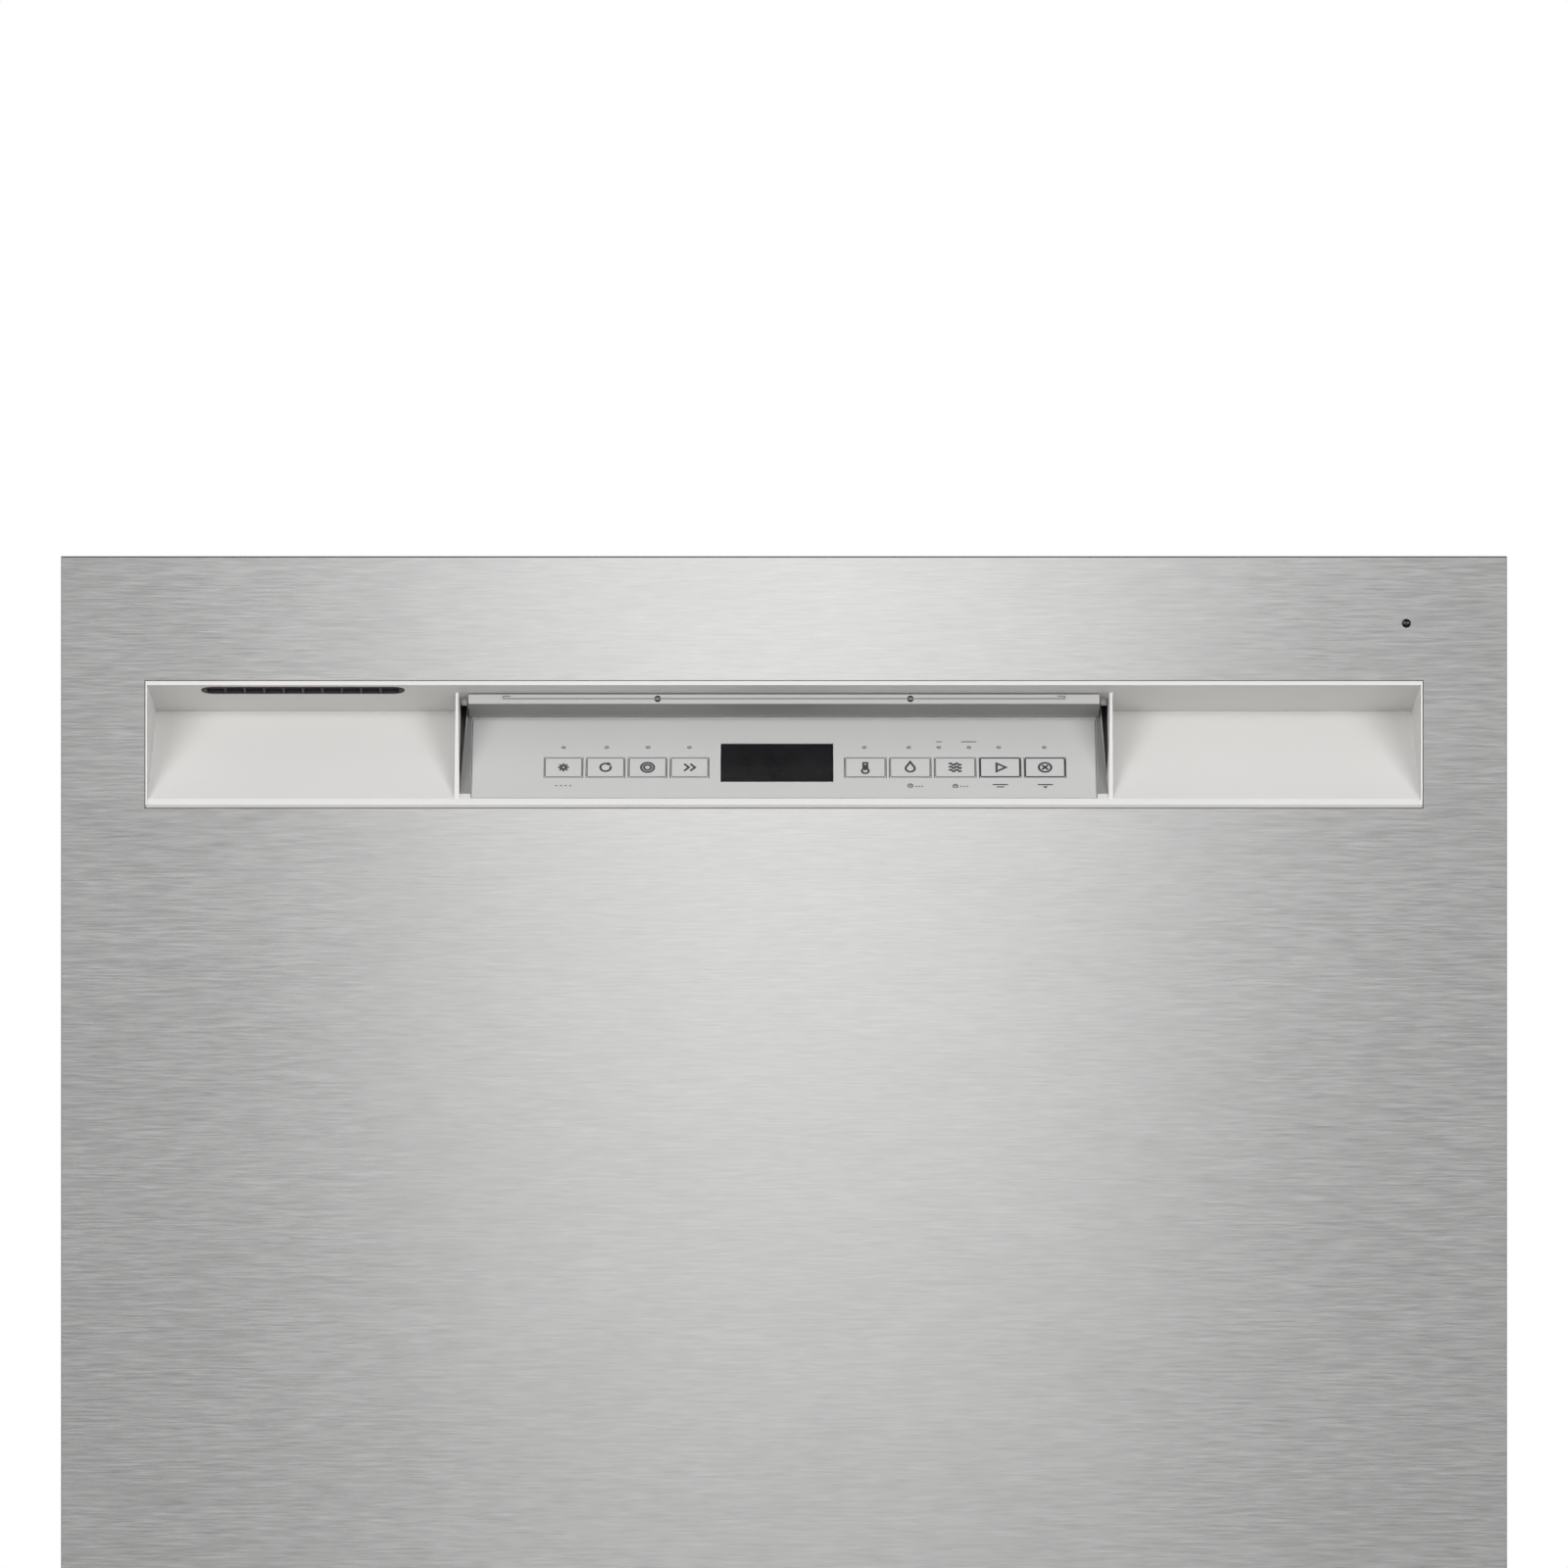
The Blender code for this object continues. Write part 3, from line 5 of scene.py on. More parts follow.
import bmesh
import bpy
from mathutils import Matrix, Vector


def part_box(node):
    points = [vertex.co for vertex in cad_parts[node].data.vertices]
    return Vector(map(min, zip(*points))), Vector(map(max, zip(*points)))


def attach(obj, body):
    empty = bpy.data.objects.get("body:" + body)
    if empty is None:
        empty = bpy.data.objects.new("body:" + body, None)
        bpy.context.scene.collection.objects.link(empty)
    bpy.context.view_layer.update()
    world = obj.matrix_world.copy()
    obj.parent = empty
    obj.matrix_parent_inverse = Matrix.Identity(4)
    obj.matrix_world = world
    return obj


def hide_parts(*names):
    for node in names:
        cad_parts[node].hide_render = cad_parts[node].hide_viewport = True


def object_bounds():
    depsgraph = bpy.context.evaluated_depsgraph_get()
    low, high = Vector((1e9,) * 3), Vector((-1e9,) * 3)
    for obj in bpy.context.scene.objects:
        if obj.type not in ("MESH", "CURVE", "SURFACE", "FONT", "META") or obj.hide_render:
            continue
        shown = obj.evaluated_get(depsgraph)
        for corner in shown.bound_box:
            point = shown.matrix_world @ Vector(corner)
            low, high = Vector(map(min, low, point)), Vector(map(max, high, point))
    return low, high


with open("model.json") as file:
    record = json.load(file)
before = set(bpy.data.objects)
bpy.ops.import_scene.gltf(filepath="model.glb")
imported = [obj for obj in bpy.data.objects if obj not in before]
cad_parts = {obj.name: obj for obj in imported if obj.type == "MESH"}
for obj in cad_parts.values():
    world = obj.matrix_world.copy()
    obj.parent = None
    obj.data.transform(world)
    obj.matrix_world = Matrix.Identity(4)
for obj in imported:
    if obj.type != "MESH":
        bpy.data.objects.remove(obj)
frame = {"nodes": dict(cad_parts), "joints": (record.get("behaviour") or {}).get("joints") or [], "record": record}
CAD_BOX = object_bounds()
NODES = frame["nodes"]
MM = 0.001
DOOR_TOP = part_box("door_edge_frame")[1][2]


# ---- Node-based materials ----

class Surface:
    """One Principled material and the nodes that drive its colour, roughness and bump."""

    def __init__(self, name, colour, rough, metal=0.0, **sockets):
        self.made = bpy.data.materials.new(name)
        self.made.use_nodes = True
        self.tree = self.made.node_tree
        self.shader = self.tree.nodes["Principled BSDF"]
        self.shader.inputs["Metallic"].default_value = metal
        self.shader.inputs["Roughness"].default_value = rough
        self.shader.inputs["Base Color"].default_value = (*colour, 1)
        for socket, value in sockets.items():
            self.shader.inputs[socket.replace("_", " ")].default_value = value
        self.colour = colour
        self.normal = None
        self.where = self.node("ShaderNodeTexCoord").outputs["Object"]

    def node(self, kind, **values):
        made = self.tree.nodes.new(kind)
        for key, value in values.items():
            if hasattr(made, key):
                setattr(made, key, value)
            else:
                made.inputs[key].default_value = value
        return made

    def link(self, start, end):
        self.tree.links.new(start, end)

    def noise(self, scale, stretch=(1, 1, 1), detail=4.0, roughness=0.6):
        """Noise in the object's own space, stretched along its axes. Scale is per metre."""
        mapping = self.node("ShaderNodeMapping")
        mapping.inputs["Scale"].default_value = stretch
        self.link(self.where, mapping.inputs["Vector"])
        made = self.node("ShaderNodeTexNoise", Scale=scale, Detail=detail, Roughness=roughness)
        self.link(mapping.outputs["Vector"], made.inputs["Vector"])
        return made.outputs["Fac"]

    def spread(self, value, low, high, start=0.3, end=0.7):
        made = self.node("ShaderNodeMapRange")
        for key, number in (("From Min", start), ("From Max", end), ("To Min", low), ("To Max", high)):
            made.inputs[key].default_value = number
        self.link(value, made.inputs["Value"])
        return made.outputs["Result"]

    def tint(self, value, dark, light):
        """Colour runs from dark to light times the base colour as value rises."""
        ramp = self.node("ShaderNodeValToRGB")
        ramp.color_ramp.elements[0].position = 0.3
        ramp.color_ramp.elements[1].position = 0.7
        for element, share in zip(ramp.color_ramp.elements, (dark, light)):
            element.color = (*[min(1.0, c * share) for c in self.colour], 1)
        self.link(value, ramp.inputs["Fac"])
        self.last_colour = ramp.outputs["Color"]
        self.link(self.last_colour, self.shader.inputs["Base Color"])
        return self

    def multiply(self, value):
        """Multiplies the colour so far by a grey value."""
        mix = self.node("ShaderNodeMix", data_type="RGBA", blend_type="MULTIPLY")
        mix.inputs["Factor"].default_value = 1.0
        self.link(self.last_colour, mix.inputs["A"])
        self.link(value, mix.inputs["B"])
        self.last_colour = mix.outputs["Result"]
        self.link(self.last_colour, self.shader.inputs["Base Color"])
        return self

    def glossiness(self, value, low, high):
        self.link(self.spread(value, low, high), self.shader.inputs["Roughness"])
        return self

    def bump(self, value, depth, strength=1.0):
        made = self.node("ShaderNodeBump", Strength=strength, Distance=depth)
        self.link(value, made.inputs["Height"])
        if self.normal:
            self.link(self.normal, made.inputs["Normal"])
        self.normal = made.outputs["Normal"]
        self.link(self.normal, self.shader.inputs["Normal"])
        return self

    def worn_edges(self, light):
        """Lighter, polished edges, from the curvature of the mesh."""
        point = self.node("ShaderNodeNewGeometry").outputs["Pointiness"]
        edge = self.spread(point, 1.0, light, 0.52, 0.60)
        return self.multiply(edge)


def brushed_steel():
    """Door skin: short fine scratches along X, in patches, that blur reflections up and down."""
    look = Surface("door_brushed_steel", (0.51, 0.51, 0.507), 0.34, 1.0, Anisotropic=0.6,
                   Anisotropic_Rotation=0.25)
    fine = look.noise(1.0, (70, 60, 1900), 3.0, 0.6)
    streak = look.noise(1.0, (95, 60, 900), 2.0, 0.5)
    cloud = look.noise(14.0, (1, 1, 2.4), 3.0)
    look.tint(fine, 0.925, 1.075).multiply(look.spread(streak, 0.965, 1.03))
    look.multiply(look.spread(cloud, 0.985, 1.015))
    look.glossiness(fine, 0.31, 0.39)
    return look.bump(fine, 0.00001, 0.5).bump(streak, 0.00001, 0.35).made


def rolled_steel(name, colour, rough, direction=(40, 40, 900)):
    """Mill-rolled stainless steel with faint drawing lines and a slow haze."""
    look = Surface(name, colour, rough, 1.0)
    line = look.noise(1.0, direction, 3.0)
    haze = look.noise(3.0, (1, 1, 1), 2.0, 0.4)
    look.tint(haze, 0.96, 1.03).multiply(look.spread(line, 0.96, 1.03))
    look.glossiness(haze, rough - 0.02, rough + 0.03)
    return look.bump(line, 0.00002, 0.4).made


def damping_mat():
    """Bitumen sheet: matt near-black with coarse grit and pressed dimples."""
    look = Surface("bitumen_mat", (0.030, 0.029, 0.028), 0.80, 0.0)
    grit = look.noise(700.0, (1, 1, 1), 3.0, 0.6)
    slow = look.noise(12.0, (1, 1, 1), 3.0)
    dimple = look.node("ShaderNodeTexVoronoi", Scale=85.0)
    look.link(look.where, dimple.inputs["Vector"])
    look.tint(slow, 0.8, 1.5).multiply(look.spread(grit, 0.85, 1.15))
    look.glossiness(grit, 0.70, 0.92)
    return look.bump(dimple.outputs["Distance"], 0.0004, 0.6).bump(grit, 0.0002, 0.5).made


def galvanised():
    """Zinc-coated sheet with crystal spangle and dull patches."""
    look = Surface("galvanised_sheet", (0.52, 0.53, 0.54), 0.42, 1.0)
    cells = look.node("ShaderNodeTexVoronoi", Scale=160.0)
    look.link(look.where, cells.inputs["Vector"])
    dull = look.noise(30.0)
    look.tint(dull, 0.82, 1.06).multiply(look.spread(cells.outputs["Color"], 0.88, 1.06, 0.0, 1.0))
    return look.glossiness(dull, 0.34, 0.55).bump(dull, 0.00005, 0.3).made


def moulded(name, colour, rough, grain=2600.0, depth=0.00003, vary=0.05, worn=1.0, **sockets):
    """Injection-moulded plastic: a fine spark-eroded grain, slow shade changes and rubbed edges."""
    look = Surface(name, colour, rough, 0.0, **sockets)
    slow = look.noise(7.0, (1, 1, 1), 3.0)
    texture = look.noise(grain, (1, 1, 1), 2.0, 0.5)
    look.tint(slow, 1.0 - vary, 1.0 + vary).multiply(look.spread(texture, 0.975, 1.02))
    if worn != 1.0:
        look.worn_edges(worn)
    return look.glossiness(texture, rough - 0.05, rough + 0.06).bump(texture, depth, 0.5).made


def rubber():
    """Black rubber for seals, with a film of dust. The same look also serves as painted shade in nozzle holes,
    louvre slots, screw recesses and the gaps beside the console.
    """
    look = Surface("rubber_and_painted_shade", (0.022, 0.022, 0.023), 0.72, 0.0)
    dust = look.noise(90.0, (1, 1, 1), 5.0, 0.7)
    look.tint(dust, 0.75, 1.9)
    return look.glossiness(dust, 0.62, 0.85).bump(dust, 0.0001, 0.4).made


def smoked_glass():
    """Dark display window with a faint film of dust and rubbed marks."""
    look = Surface("smoked_display", (0.009, 0.009, 0.010), 0.10, 0.0, IOR=1.40, Specular_IOR_Level=0.4)
    film = look.noise(60.0, (1, 1, 1), 4.0, 0.6)
    look.tint(film, 0.8, 1.5)
    return look.glossiness(film, 0.06, 0.16).bump(film, 0.00001, 0.2).made


def circuit_board():
    look = Surface("board_lacquer", (0.02, 0.17, 0.07), 0.35, 0.0, Coat_Weight=0.3)
    traces = look.node("ShaderNodeTexBrick", Scale=180.0)
    look.link(look.where, traces.inputs["Vector"])
    slow = look.noise(40.0)
    look.tint(slow, 0.8, 1.2).multiply(look.spread(traces.outputs["Fac"], 1.0, 1.7, 0.0, 1.0))
    return look.glossiness(slow, 0.28, 0.42).bump(traces.outputs["Fac"], 0.00005, 0.4).made


def heater_sheath():
    """Heating tube with straw and blue heat tint and scale."""
    look = Surface("heater_sheath", (0.34, 0.31, 0.28), 0.38, 1.0)
    scale = look.noise(55.0, (1, 1, 1), 6.0, 0.7)
    look.tint(scale, 0.62, 1.25)
    return look.glossiness(scale, 0.28, 0.58).bump(scale, 0.0001, 0.5).made


def painted(name, colour, rough):
    """Powder-coated sheet with a slight orange peel."""
    look = Surface(name, colour, rough, 0.0, Coat_Weight=0.15, Coat_Roughness=0.25)
    peel = look.noise(420.0, (1, 1, 1), 2.0, 0.5)
    slow = look.noise(6.0)
    look.tint(slow, 0.85, 1.25)
    return look.glossiness(peel, rough - 0.06, rough + 0.08).bump(peel, 0.00006, 0.4).made


LOOKS = {
    "brushed_steel": brushed_steel(),
    "tub_steel": rolled_steel("tub_stainless", (0.66, 0.66, 0.67), 0.27),
    "screw_steel": rolled_steel("screw_bright", (0.46, 0.46, 0.46), 0.30, (900, 900, 900)),
    "galvanised": galvanised(),
    "dark_plastic": moulded("charcoal_plastic", (0.035, 0.035, 0.037), 0.52, 1800.0, 0.00005, 0.10, 1.6),
    "black_painted": painted("kick_black_paint", (0.022, 0.022, 0.023), 0.42),
    "pocket_grey": moulded("pocket_warm_grey", (0.64, 0.63, 0.618), 0.46, 2400.0, 0.00002, 0.02),
    "fascia_grey": moulded("fascia_silver_grey", (0.53, 0.53, 0.525), 0.42, 3200.0, 0.00002, 0.02),
    "key_grey": moulded("key_silver_grey", (0.54, 0.54, 0.535), 0.40, 3200.0, 0.00002, 0.02),
    "grey_plastic": moulded("polypropylene_grey", (0.30, 0.31, 0.33), 0.48, 1500.0, 0.00005, 0.07, 1.15),
    "pale_plastic": moulded("dispenser_pale_grey", (0.68, 0.69, 0.71), 0.38, 1800.0, 0.00004, 0.04),
    "display_glass": smoked_glass(),
    "lamp_plastic": moulded("lamp_lens", (0.30, 0.30, 0.31), 0.25, 900.0, 0.00002, 0.08),
    "board": circuit_board(),
    "rubber": rubber(),
    "coated_wire": moulded("nylon_wire_coat", (0.36, 0.37, 0.39), 0.36, 1200.0, 0.00004, 0.06,
                           Coat_Weight=0.25),
    "heater_metal": heater_sheath(),
}
NODE_LOOKS = {
    "console_ledge": moulded("ledge_shadow_grey", (0.41, 0.41, 0.405), 0.44, 3200.0, 0.00002, 0.03),
    "door_edge_frame": moulded("edge_trim_grey", (0.034, 0.034, 0.036), 0.55, 1800.0, 0.00004, 0.08, 1.2),
    "vent_grille": moulded("vent_black", (0.010, 0.010, 0.011), 0.62, 1800.0, 0.00004, 0.10),
    "ledge_screw_left": rolled_steel("dark_screw", (0.10, 0.10, 0.10), 0.36, (900, 900, 900)),
}
NODE_LOOKS["ledge_screw_right"] = NODE_LOOKS["ledge_screw_left"]
PRINT_DARK = moulded("print_charcoal", (0.045, 0.045, 0.05), 0.55, 3000.0, 0.00001, 0.08)
PRINT_GREY = moulded("print_mid_grey", (0.17, 0.17, 0.175), 0.55, 3000.0, 0.00001, 0.06)
# Painted shade: a mid-grey look for the films beside the fascia, where the pocket lies in shade.
SIDE_SHADE_LOOK = moulded("console_side_painted_shade", (0.19, 0.19, 0.192), 0.52, 2400.0, 0.00003, 0.06, 1.2)
# Painted shade: a darker look for the film under the ledge.
SHADE_LOOK = moulded("ledge_underside_painted_shade", (0.25, 0.25, 0.248), 0.60, 2400.0, 0.00003, 0.05)


def dress_nodes():
    """Every CAD node takes the finish of its slot in the record, or the look that NODE_LOOKS gives it."""
    for entry in frame["record"]["subparts"]:
        node = NODES[entry["node"]]
        node.data.materials.clear()
        node.data.materials.append(NODE_LOOKS.get(entry["node"], LOOKS[entry["material_slot"]]))


def soften(node, width, segments):
    """Rounds the sharp edges of a CAD node, which keeps its own mesh."""
    piece = NODES[node]
    edge = piece.modifiers.new("rounded_edges", "BEVEL")
    edge.width = width
    edge.segments = segments
    edge.limit_method = "ANGLE"
    edge.angle_limit = math.radians(35)
    edge.use_clamp_overlap = True
    edge.harden_normals = True
    piece.data.shade_smooth()


# ---- Mesh helpers for the visible pieces ----

SHARP_ANGLE = math.radians(40)


def make_piece(name, work, look, body, smooth=True):
    """Links a bmesh as a piece that rides on a body and takes the look it is given."""
    bmesh.ops.recalc_face_normals(work, faces=work.faces)
    mesh = bpy.data.meshes.new(name)
    work.to_mesh(mesh)
    work.free()
    if smooth:
        mesh.shade_smooth()
        mesh.set_sharp_from_angle(angle=SHARP_ANGLE)
    mesh.materials.append(look)
    piece = bpy.data.objects.new(name, mesh)
    bpy.context.scene.collection.objects.link(piece)
    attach(piece, body)
    return piece


def arc(centre, radius, start, end, steps):
    """Points of a circle's arc in a plane, angles in degrees."""
    angles = [math.radians(start + (end - start) * i / steps) for i in range(steps + 1)]
    return [(centre[0] + radius * math.cos(a), centre[1] + radius * math.sin(a)) for a in angles]


def ring_loft(work, rings, closed=False):
    """Skins rings of points into the bmesh, with a cap at each end unless it closes on itself."""
    rows = [[work.verts.new(point) for point in ring] for ring in rings]
    count = len(rows[0])
    pairs = list(zip(rows, rows[1:])) + ([(rows[-1], rows[0])] if closed else [])
    for near, far in pairs:
        for i in range(count):
            j = (i + 1) % count
            work.faces.new((near[i], near[j], far[j], far[i]))
    if not closed:
        work.faces.new(rows[0])
        work.faces.new(rows[-1])


def add_wire(work, points, radius, sides=8, closed=False):
    """A round wire through points, with mitred bends."""
    points = [Vector(p) for p in points]
    count = len(points)
    rings = []
    side = (points[1] - points[0]).orthogonal().normalized()
    for i, point in enumerate(points):
        before = point - points[i - 1] if i or closed else points[1] - point
        after = points[(i + 1) % count] - point if i < count - 1 or closed else before
        before, after = before.normalized(), after.normalized()
        ahead = (before + after).normalized()
        side = (side - ahead * side.dot(ahead)).normalized()
        across = ahead.cross(side)
        turns = [2 * math.pi * k / sides for k in range(sides)]
        rings.append([point + radius * (side * math.cos(t) + across * math.sin(t)) for t in turns])
    ring_loft(work, rings, closed)


def bent(points, radius, steps=4):
    """Rounds the corners of a path."""
    points = [Vector(p) for p in points]
    path = [points[0]]
    for before, corner, after in zip(points, points[1:], points[2:]):
        into, out = (corner - before).normalized(), (after - corner).normalized()
        reach = min(radius, 0.45 * (corner - before).length, 0.45 * (after - corner).length)
        start, end = corner - into * reach, corner + out * reach
        for k in range(steps + 1):
            t = k / steps
            path.append((1 - t) ** 2 * start + 2 * t * (1 - t) * corner + t ** 2 * end)
    return path + [points[-1]]


def rounded_rectangle(x0, x1, y0, y1, radius, steps=5):
    """Points round a rectangle with round corners, anticlockwise."""
    corners = ((x1 - radius, y0 + radius, -90), (x1 - radius, y1 - radius, 0),
               (x0 + radius, y1 - radius, 90), (x0 + radius, y0 + radius, 180))
    return [p for x, y, start in corners for p in arc((x, y), radius, start, start + 90, steps)]


def add_turned(work, profile, centre, axis, sides=24):
    """A (radius, height) profile turned about an axis through centre; its ends may be poles."""
    axis = Vector(axis).normalized()
    side = axis.orthogonal().normalized()
    across = axis.cross(side)
    rows = []
    for radius, height in profile:
        base = Vector(centre) + axis * height
        if radius == 0:
            rows.append([work.verts.new(base)] * sides)
        else:
            turns = [2 * math.pi * k / sides for k in range(sides)]
            rows.append([work.verts.new(base + radius * (side * math.cos(t) + across * math.sin(t)))
                         for t in turns])
    for near, far in zip(rows, rows[1:]):
        for i in range(sides):
            j = (i + 1) % sides
            corners = list(dict.fromkeys((near[i], near[j], far[j], far[i])))
            if len(corners) > 2:
                work.faces.new(corners)


def add_slab(work, outline, low, high, to_world, edge=0.0):
    """A flat outline with thickness and a small rolled edge, carried into place by to_world(x, y, z)."""
    middle = Vector((sum(p[0] for p in outline), sum(p[1] for p in outline))) / len(outline)
    rings = []
    levels = [(low, edge), (low + edge, 0.3 * edge), (low + 1.5 * edge, 0.0), (high - 1.5 * edge, 0.0),
              (high - edge, 0.3 * edge), (high, edge)] if edge else [(low, 0.0), (high, 0.0)]
    for level, inset in levels:
        ring = []
        for x, y in outline:
            pull = Vector((x, y)) - middle
            pull = Vector([math.copysign(min(inset, abs(reach)), reach) for reach in pull])
            ring.append(to_world(x - pull.x, y - pull.y, level))
        rings.append(ring)
    ring_loft(work, rings)


def add_ribbon(work, points, width, low, high, to_world, closed=False):
    """A printed line: a flat ribbon that follows 2D points."""
    points = [Vector(p) for p in points]
    count = len(points)
    left, right = [], []
    for i, point in enumerate(points):
        before = point - points[i - 1] if i or closed else points[1] - point
        after = points[(i + 1) % count] - point if i < count - 1 or closed else before
        before, after = before.normalized(), after.normalized()
        ahead = (before + after)
        ahead = ahead.normalized() if ahead.length > 1e-6 else after
        normal = Vector((-ahead.y, ahead.x))
        reach = width / 2 / max(0.4, ahead.dot(after))
        left.append(point + normal * reach)
        right.append(point - normal * reach)
    rings = [[to_world(a.x, a.y, low), to_world(b.x, b.y, low),
              to_world(b.x, b.y, high), to_world(a.x, a.y, high)] for a, b in zip(left, right)]
    ring_loft(work, rings, closed)


# ---- Console: printed key outlines and generic pictograms ----

KEY_THICK = 1.8 * MM
PRINT_LINE = 0.45 * MM
STRONG_LINE = 0.62 * MM
MARK_LINE = 0.92 * MM
CAPTION_LINE = 0.62 * MM
BAR_LINE = 0.55 * MM
CAPTION_DROP = 96.2 * MM
BAR_DROP = 77.8 * MM
KEY_FRAME_INSET = 0.35 * MM
KEY_FRAME_CORNER = 0.7 * MM
STRONG_KEYS = ("key_right_4", "key_right_5")
PRINT_LOW = -0.02 * MM
PRINT_HIGH = 0.03 * MM
KEY_INWARD = Vector(next(joint["axis"] for joint in frame["joints"] if joint["child"] == "key_left_1_cap"))
KEY_UP = Vector((0, -KEY_INWARD.z, KEY_INWARD.y))


def on_key(node):
    """Place, half width and half height of a key's face, and the map from its face to the world."""
    low, high = (Vector(c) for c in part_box(node))
    face = (low + high) / 2 - KEY_INWARD * KEY_THICK / 2
    half_wide = (high.x - low.x) / 2
    half_tall = ((high.z - low.z) - KEY_THICK * abs(KEY_INWARD.z)) / KEY_INWARD.y / 2

    def to_world(x, y, out):
        return face + Vector((x, 0, 0)) + KEY_UP * y - KEY_INWARD * out

    return half_wide, half_tall, to_world


def circle_line(radius, centre=(0, 0), start=0, end=360):
    """A circle, or an open arc of one, as (points, closed)."""
    line = arc(centre, radius, start, end, 24)
    return (line[:-1], True) if end - start == 360 else (line, False)


def wave(y, wide, tall):
    """Two periods of a sine across a key."""
    return [(-wide + 2 * wide * i / 12, y + tall * math.sin(2 * math.pi * i / 6)) for i in range(13)]


def pictograms():
    """Lines, as (points, closed), of each key's mark, in millimetres. All are generic symbols."""
    spokes = [([(0.5 * math.cos(a), 0.5 * math.sin(a)), (2.3 * math.cos(a), 2.3 * math.sin(a))], False)
              for a in [math.pi * k / 4 for k in range(8)]]
    drop_shape = [(0, 3.1)] + arc((0, -0.6), 1.9, 25, -205, 14)
    return {
        "key_left_1": spokes,
        "key_left_2": [circle_line(2.2, start=60, end=380), ([(1.2, 2.8), (1.1, 1.7), (2.3, 1.6)], False)],
        "key_left_3": [circle_line(2.7), circle_line(1.5)],
        "key_left_4": [([(-2.3, 2), (-0.3, 0), (-2.3, -2)], False), ([(0.3, 2), (2.3, 0), (0.3, -2)], False)],
        "key_right_1": [([(-0.8, -1.0), (-0.8, 2.6), (0.8, 2.6), (0.8, -1.0)], False),
                        circle_line(1.4, (0, -2.0), -235, 55), ([(0, -1.8), (0, 1.4)], False)],
        "key_right_2": [(drop_shape, True)],
        "key_right_3": [(wave(y, 2.6, 0.55), False) for y in (-1.8, 0, 1.8)],
        "key_right_4": [([(-1.5, 2.3), (2.4, 0), (-1.5, -2.3)], True)],
        "key_right_5": [circle_line(2.6), ([(-1.3, -1.3), (1.3, 1.3)], False),
                        ([(-1.3, 1.3), (1.3, -1.3)], False)],
    }


def print_keys():
    """A printed frame round each key and its mark, moving with the key."""
    for node, lines in pictograms().items():
        half_wide, half_tall, to_world = on_key(node)
        strong = node in STRONG_KEYS
        work = bmesh.new()
        wide, tall = half_wide - KEY_FRAME_INSET, half_tall - KEY_FRAME_INSET
        border = rounded_rectangle(-wide, wide, -tall, tall, KEY_FRAME_CORNER)
        add_ribbon(work, border, STRONG_LINE if strong else PRINT_LINE, PRINT_LOW, PRINT_HIGH, to_world, True)
        body = node + "_cap"
        make_piece(node + "_frame", work, PRINT_DARK if strong else PRINT_GREY, body, False)
        print_lines(node + "_mark", lines, to_world, body, PRINT_DARK)


def print_lines(name, lines, to_world, body, look, width=MARK_LINE):
    """Printed lines, given in millimetres on a flat face."""
    work = bmesh.new()
    for points, closed in lines:
        flat = [(x * MM, y * MM) for x, y in points]
        add_ribbon(work, flat, width, PRINT_LOW, PRINT_HIGH, to_world, closed)
    make_piece(name, work, look, body, False)


FASCIA_LOW = Vector(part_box("console_fascia")[0])
FASCIA_THICK = 2.0 * MM


def on_fascia(x, down):
    """The map from (across, up, out) on the fascia's face, at a drop from the door's top, to the world."""
    foot = Vector((0, FASCIA_LOW.y, FASCIA_LOW.z + FASCIA_THICK * abs(KEY_INWARD.z)))
    rise = (DOOR_TOP - down) - foot.z
    origin = Vector((x, foot.y + rise * KEY_UP.y / KEY_UP.z, foot.z + rise))

    def to_world(across, up, out):
        return origin + Vector((across, 0, 0)) + KEY_UP * up - KEY_INWARD * out

    return to_world


# Painted shade: edges of the mid-grey films and of the dark cheek-shadow films beside the fascia.
SIDE_SHADE_TOP = 62.5 * MM
SIDE_SHADE_BOTTOM = 99.6 * MM
SIDE_SHADE_INNER = 131.3 * MM
SIDE_SHADE_OUTER_TOP = 133.6 * MM
SIDE_SHADE_OUTER_BOTTOM = 135.8 * MM
CHEEK_SHADOW_OUTER = 136.5 * MM
STRIP_DROP = 59.7 * MM
STRIP_HALF = 117.7 * MM
STRIP_TICK = 1.0 * MM
STRIP_LINE = 0.5 * MM


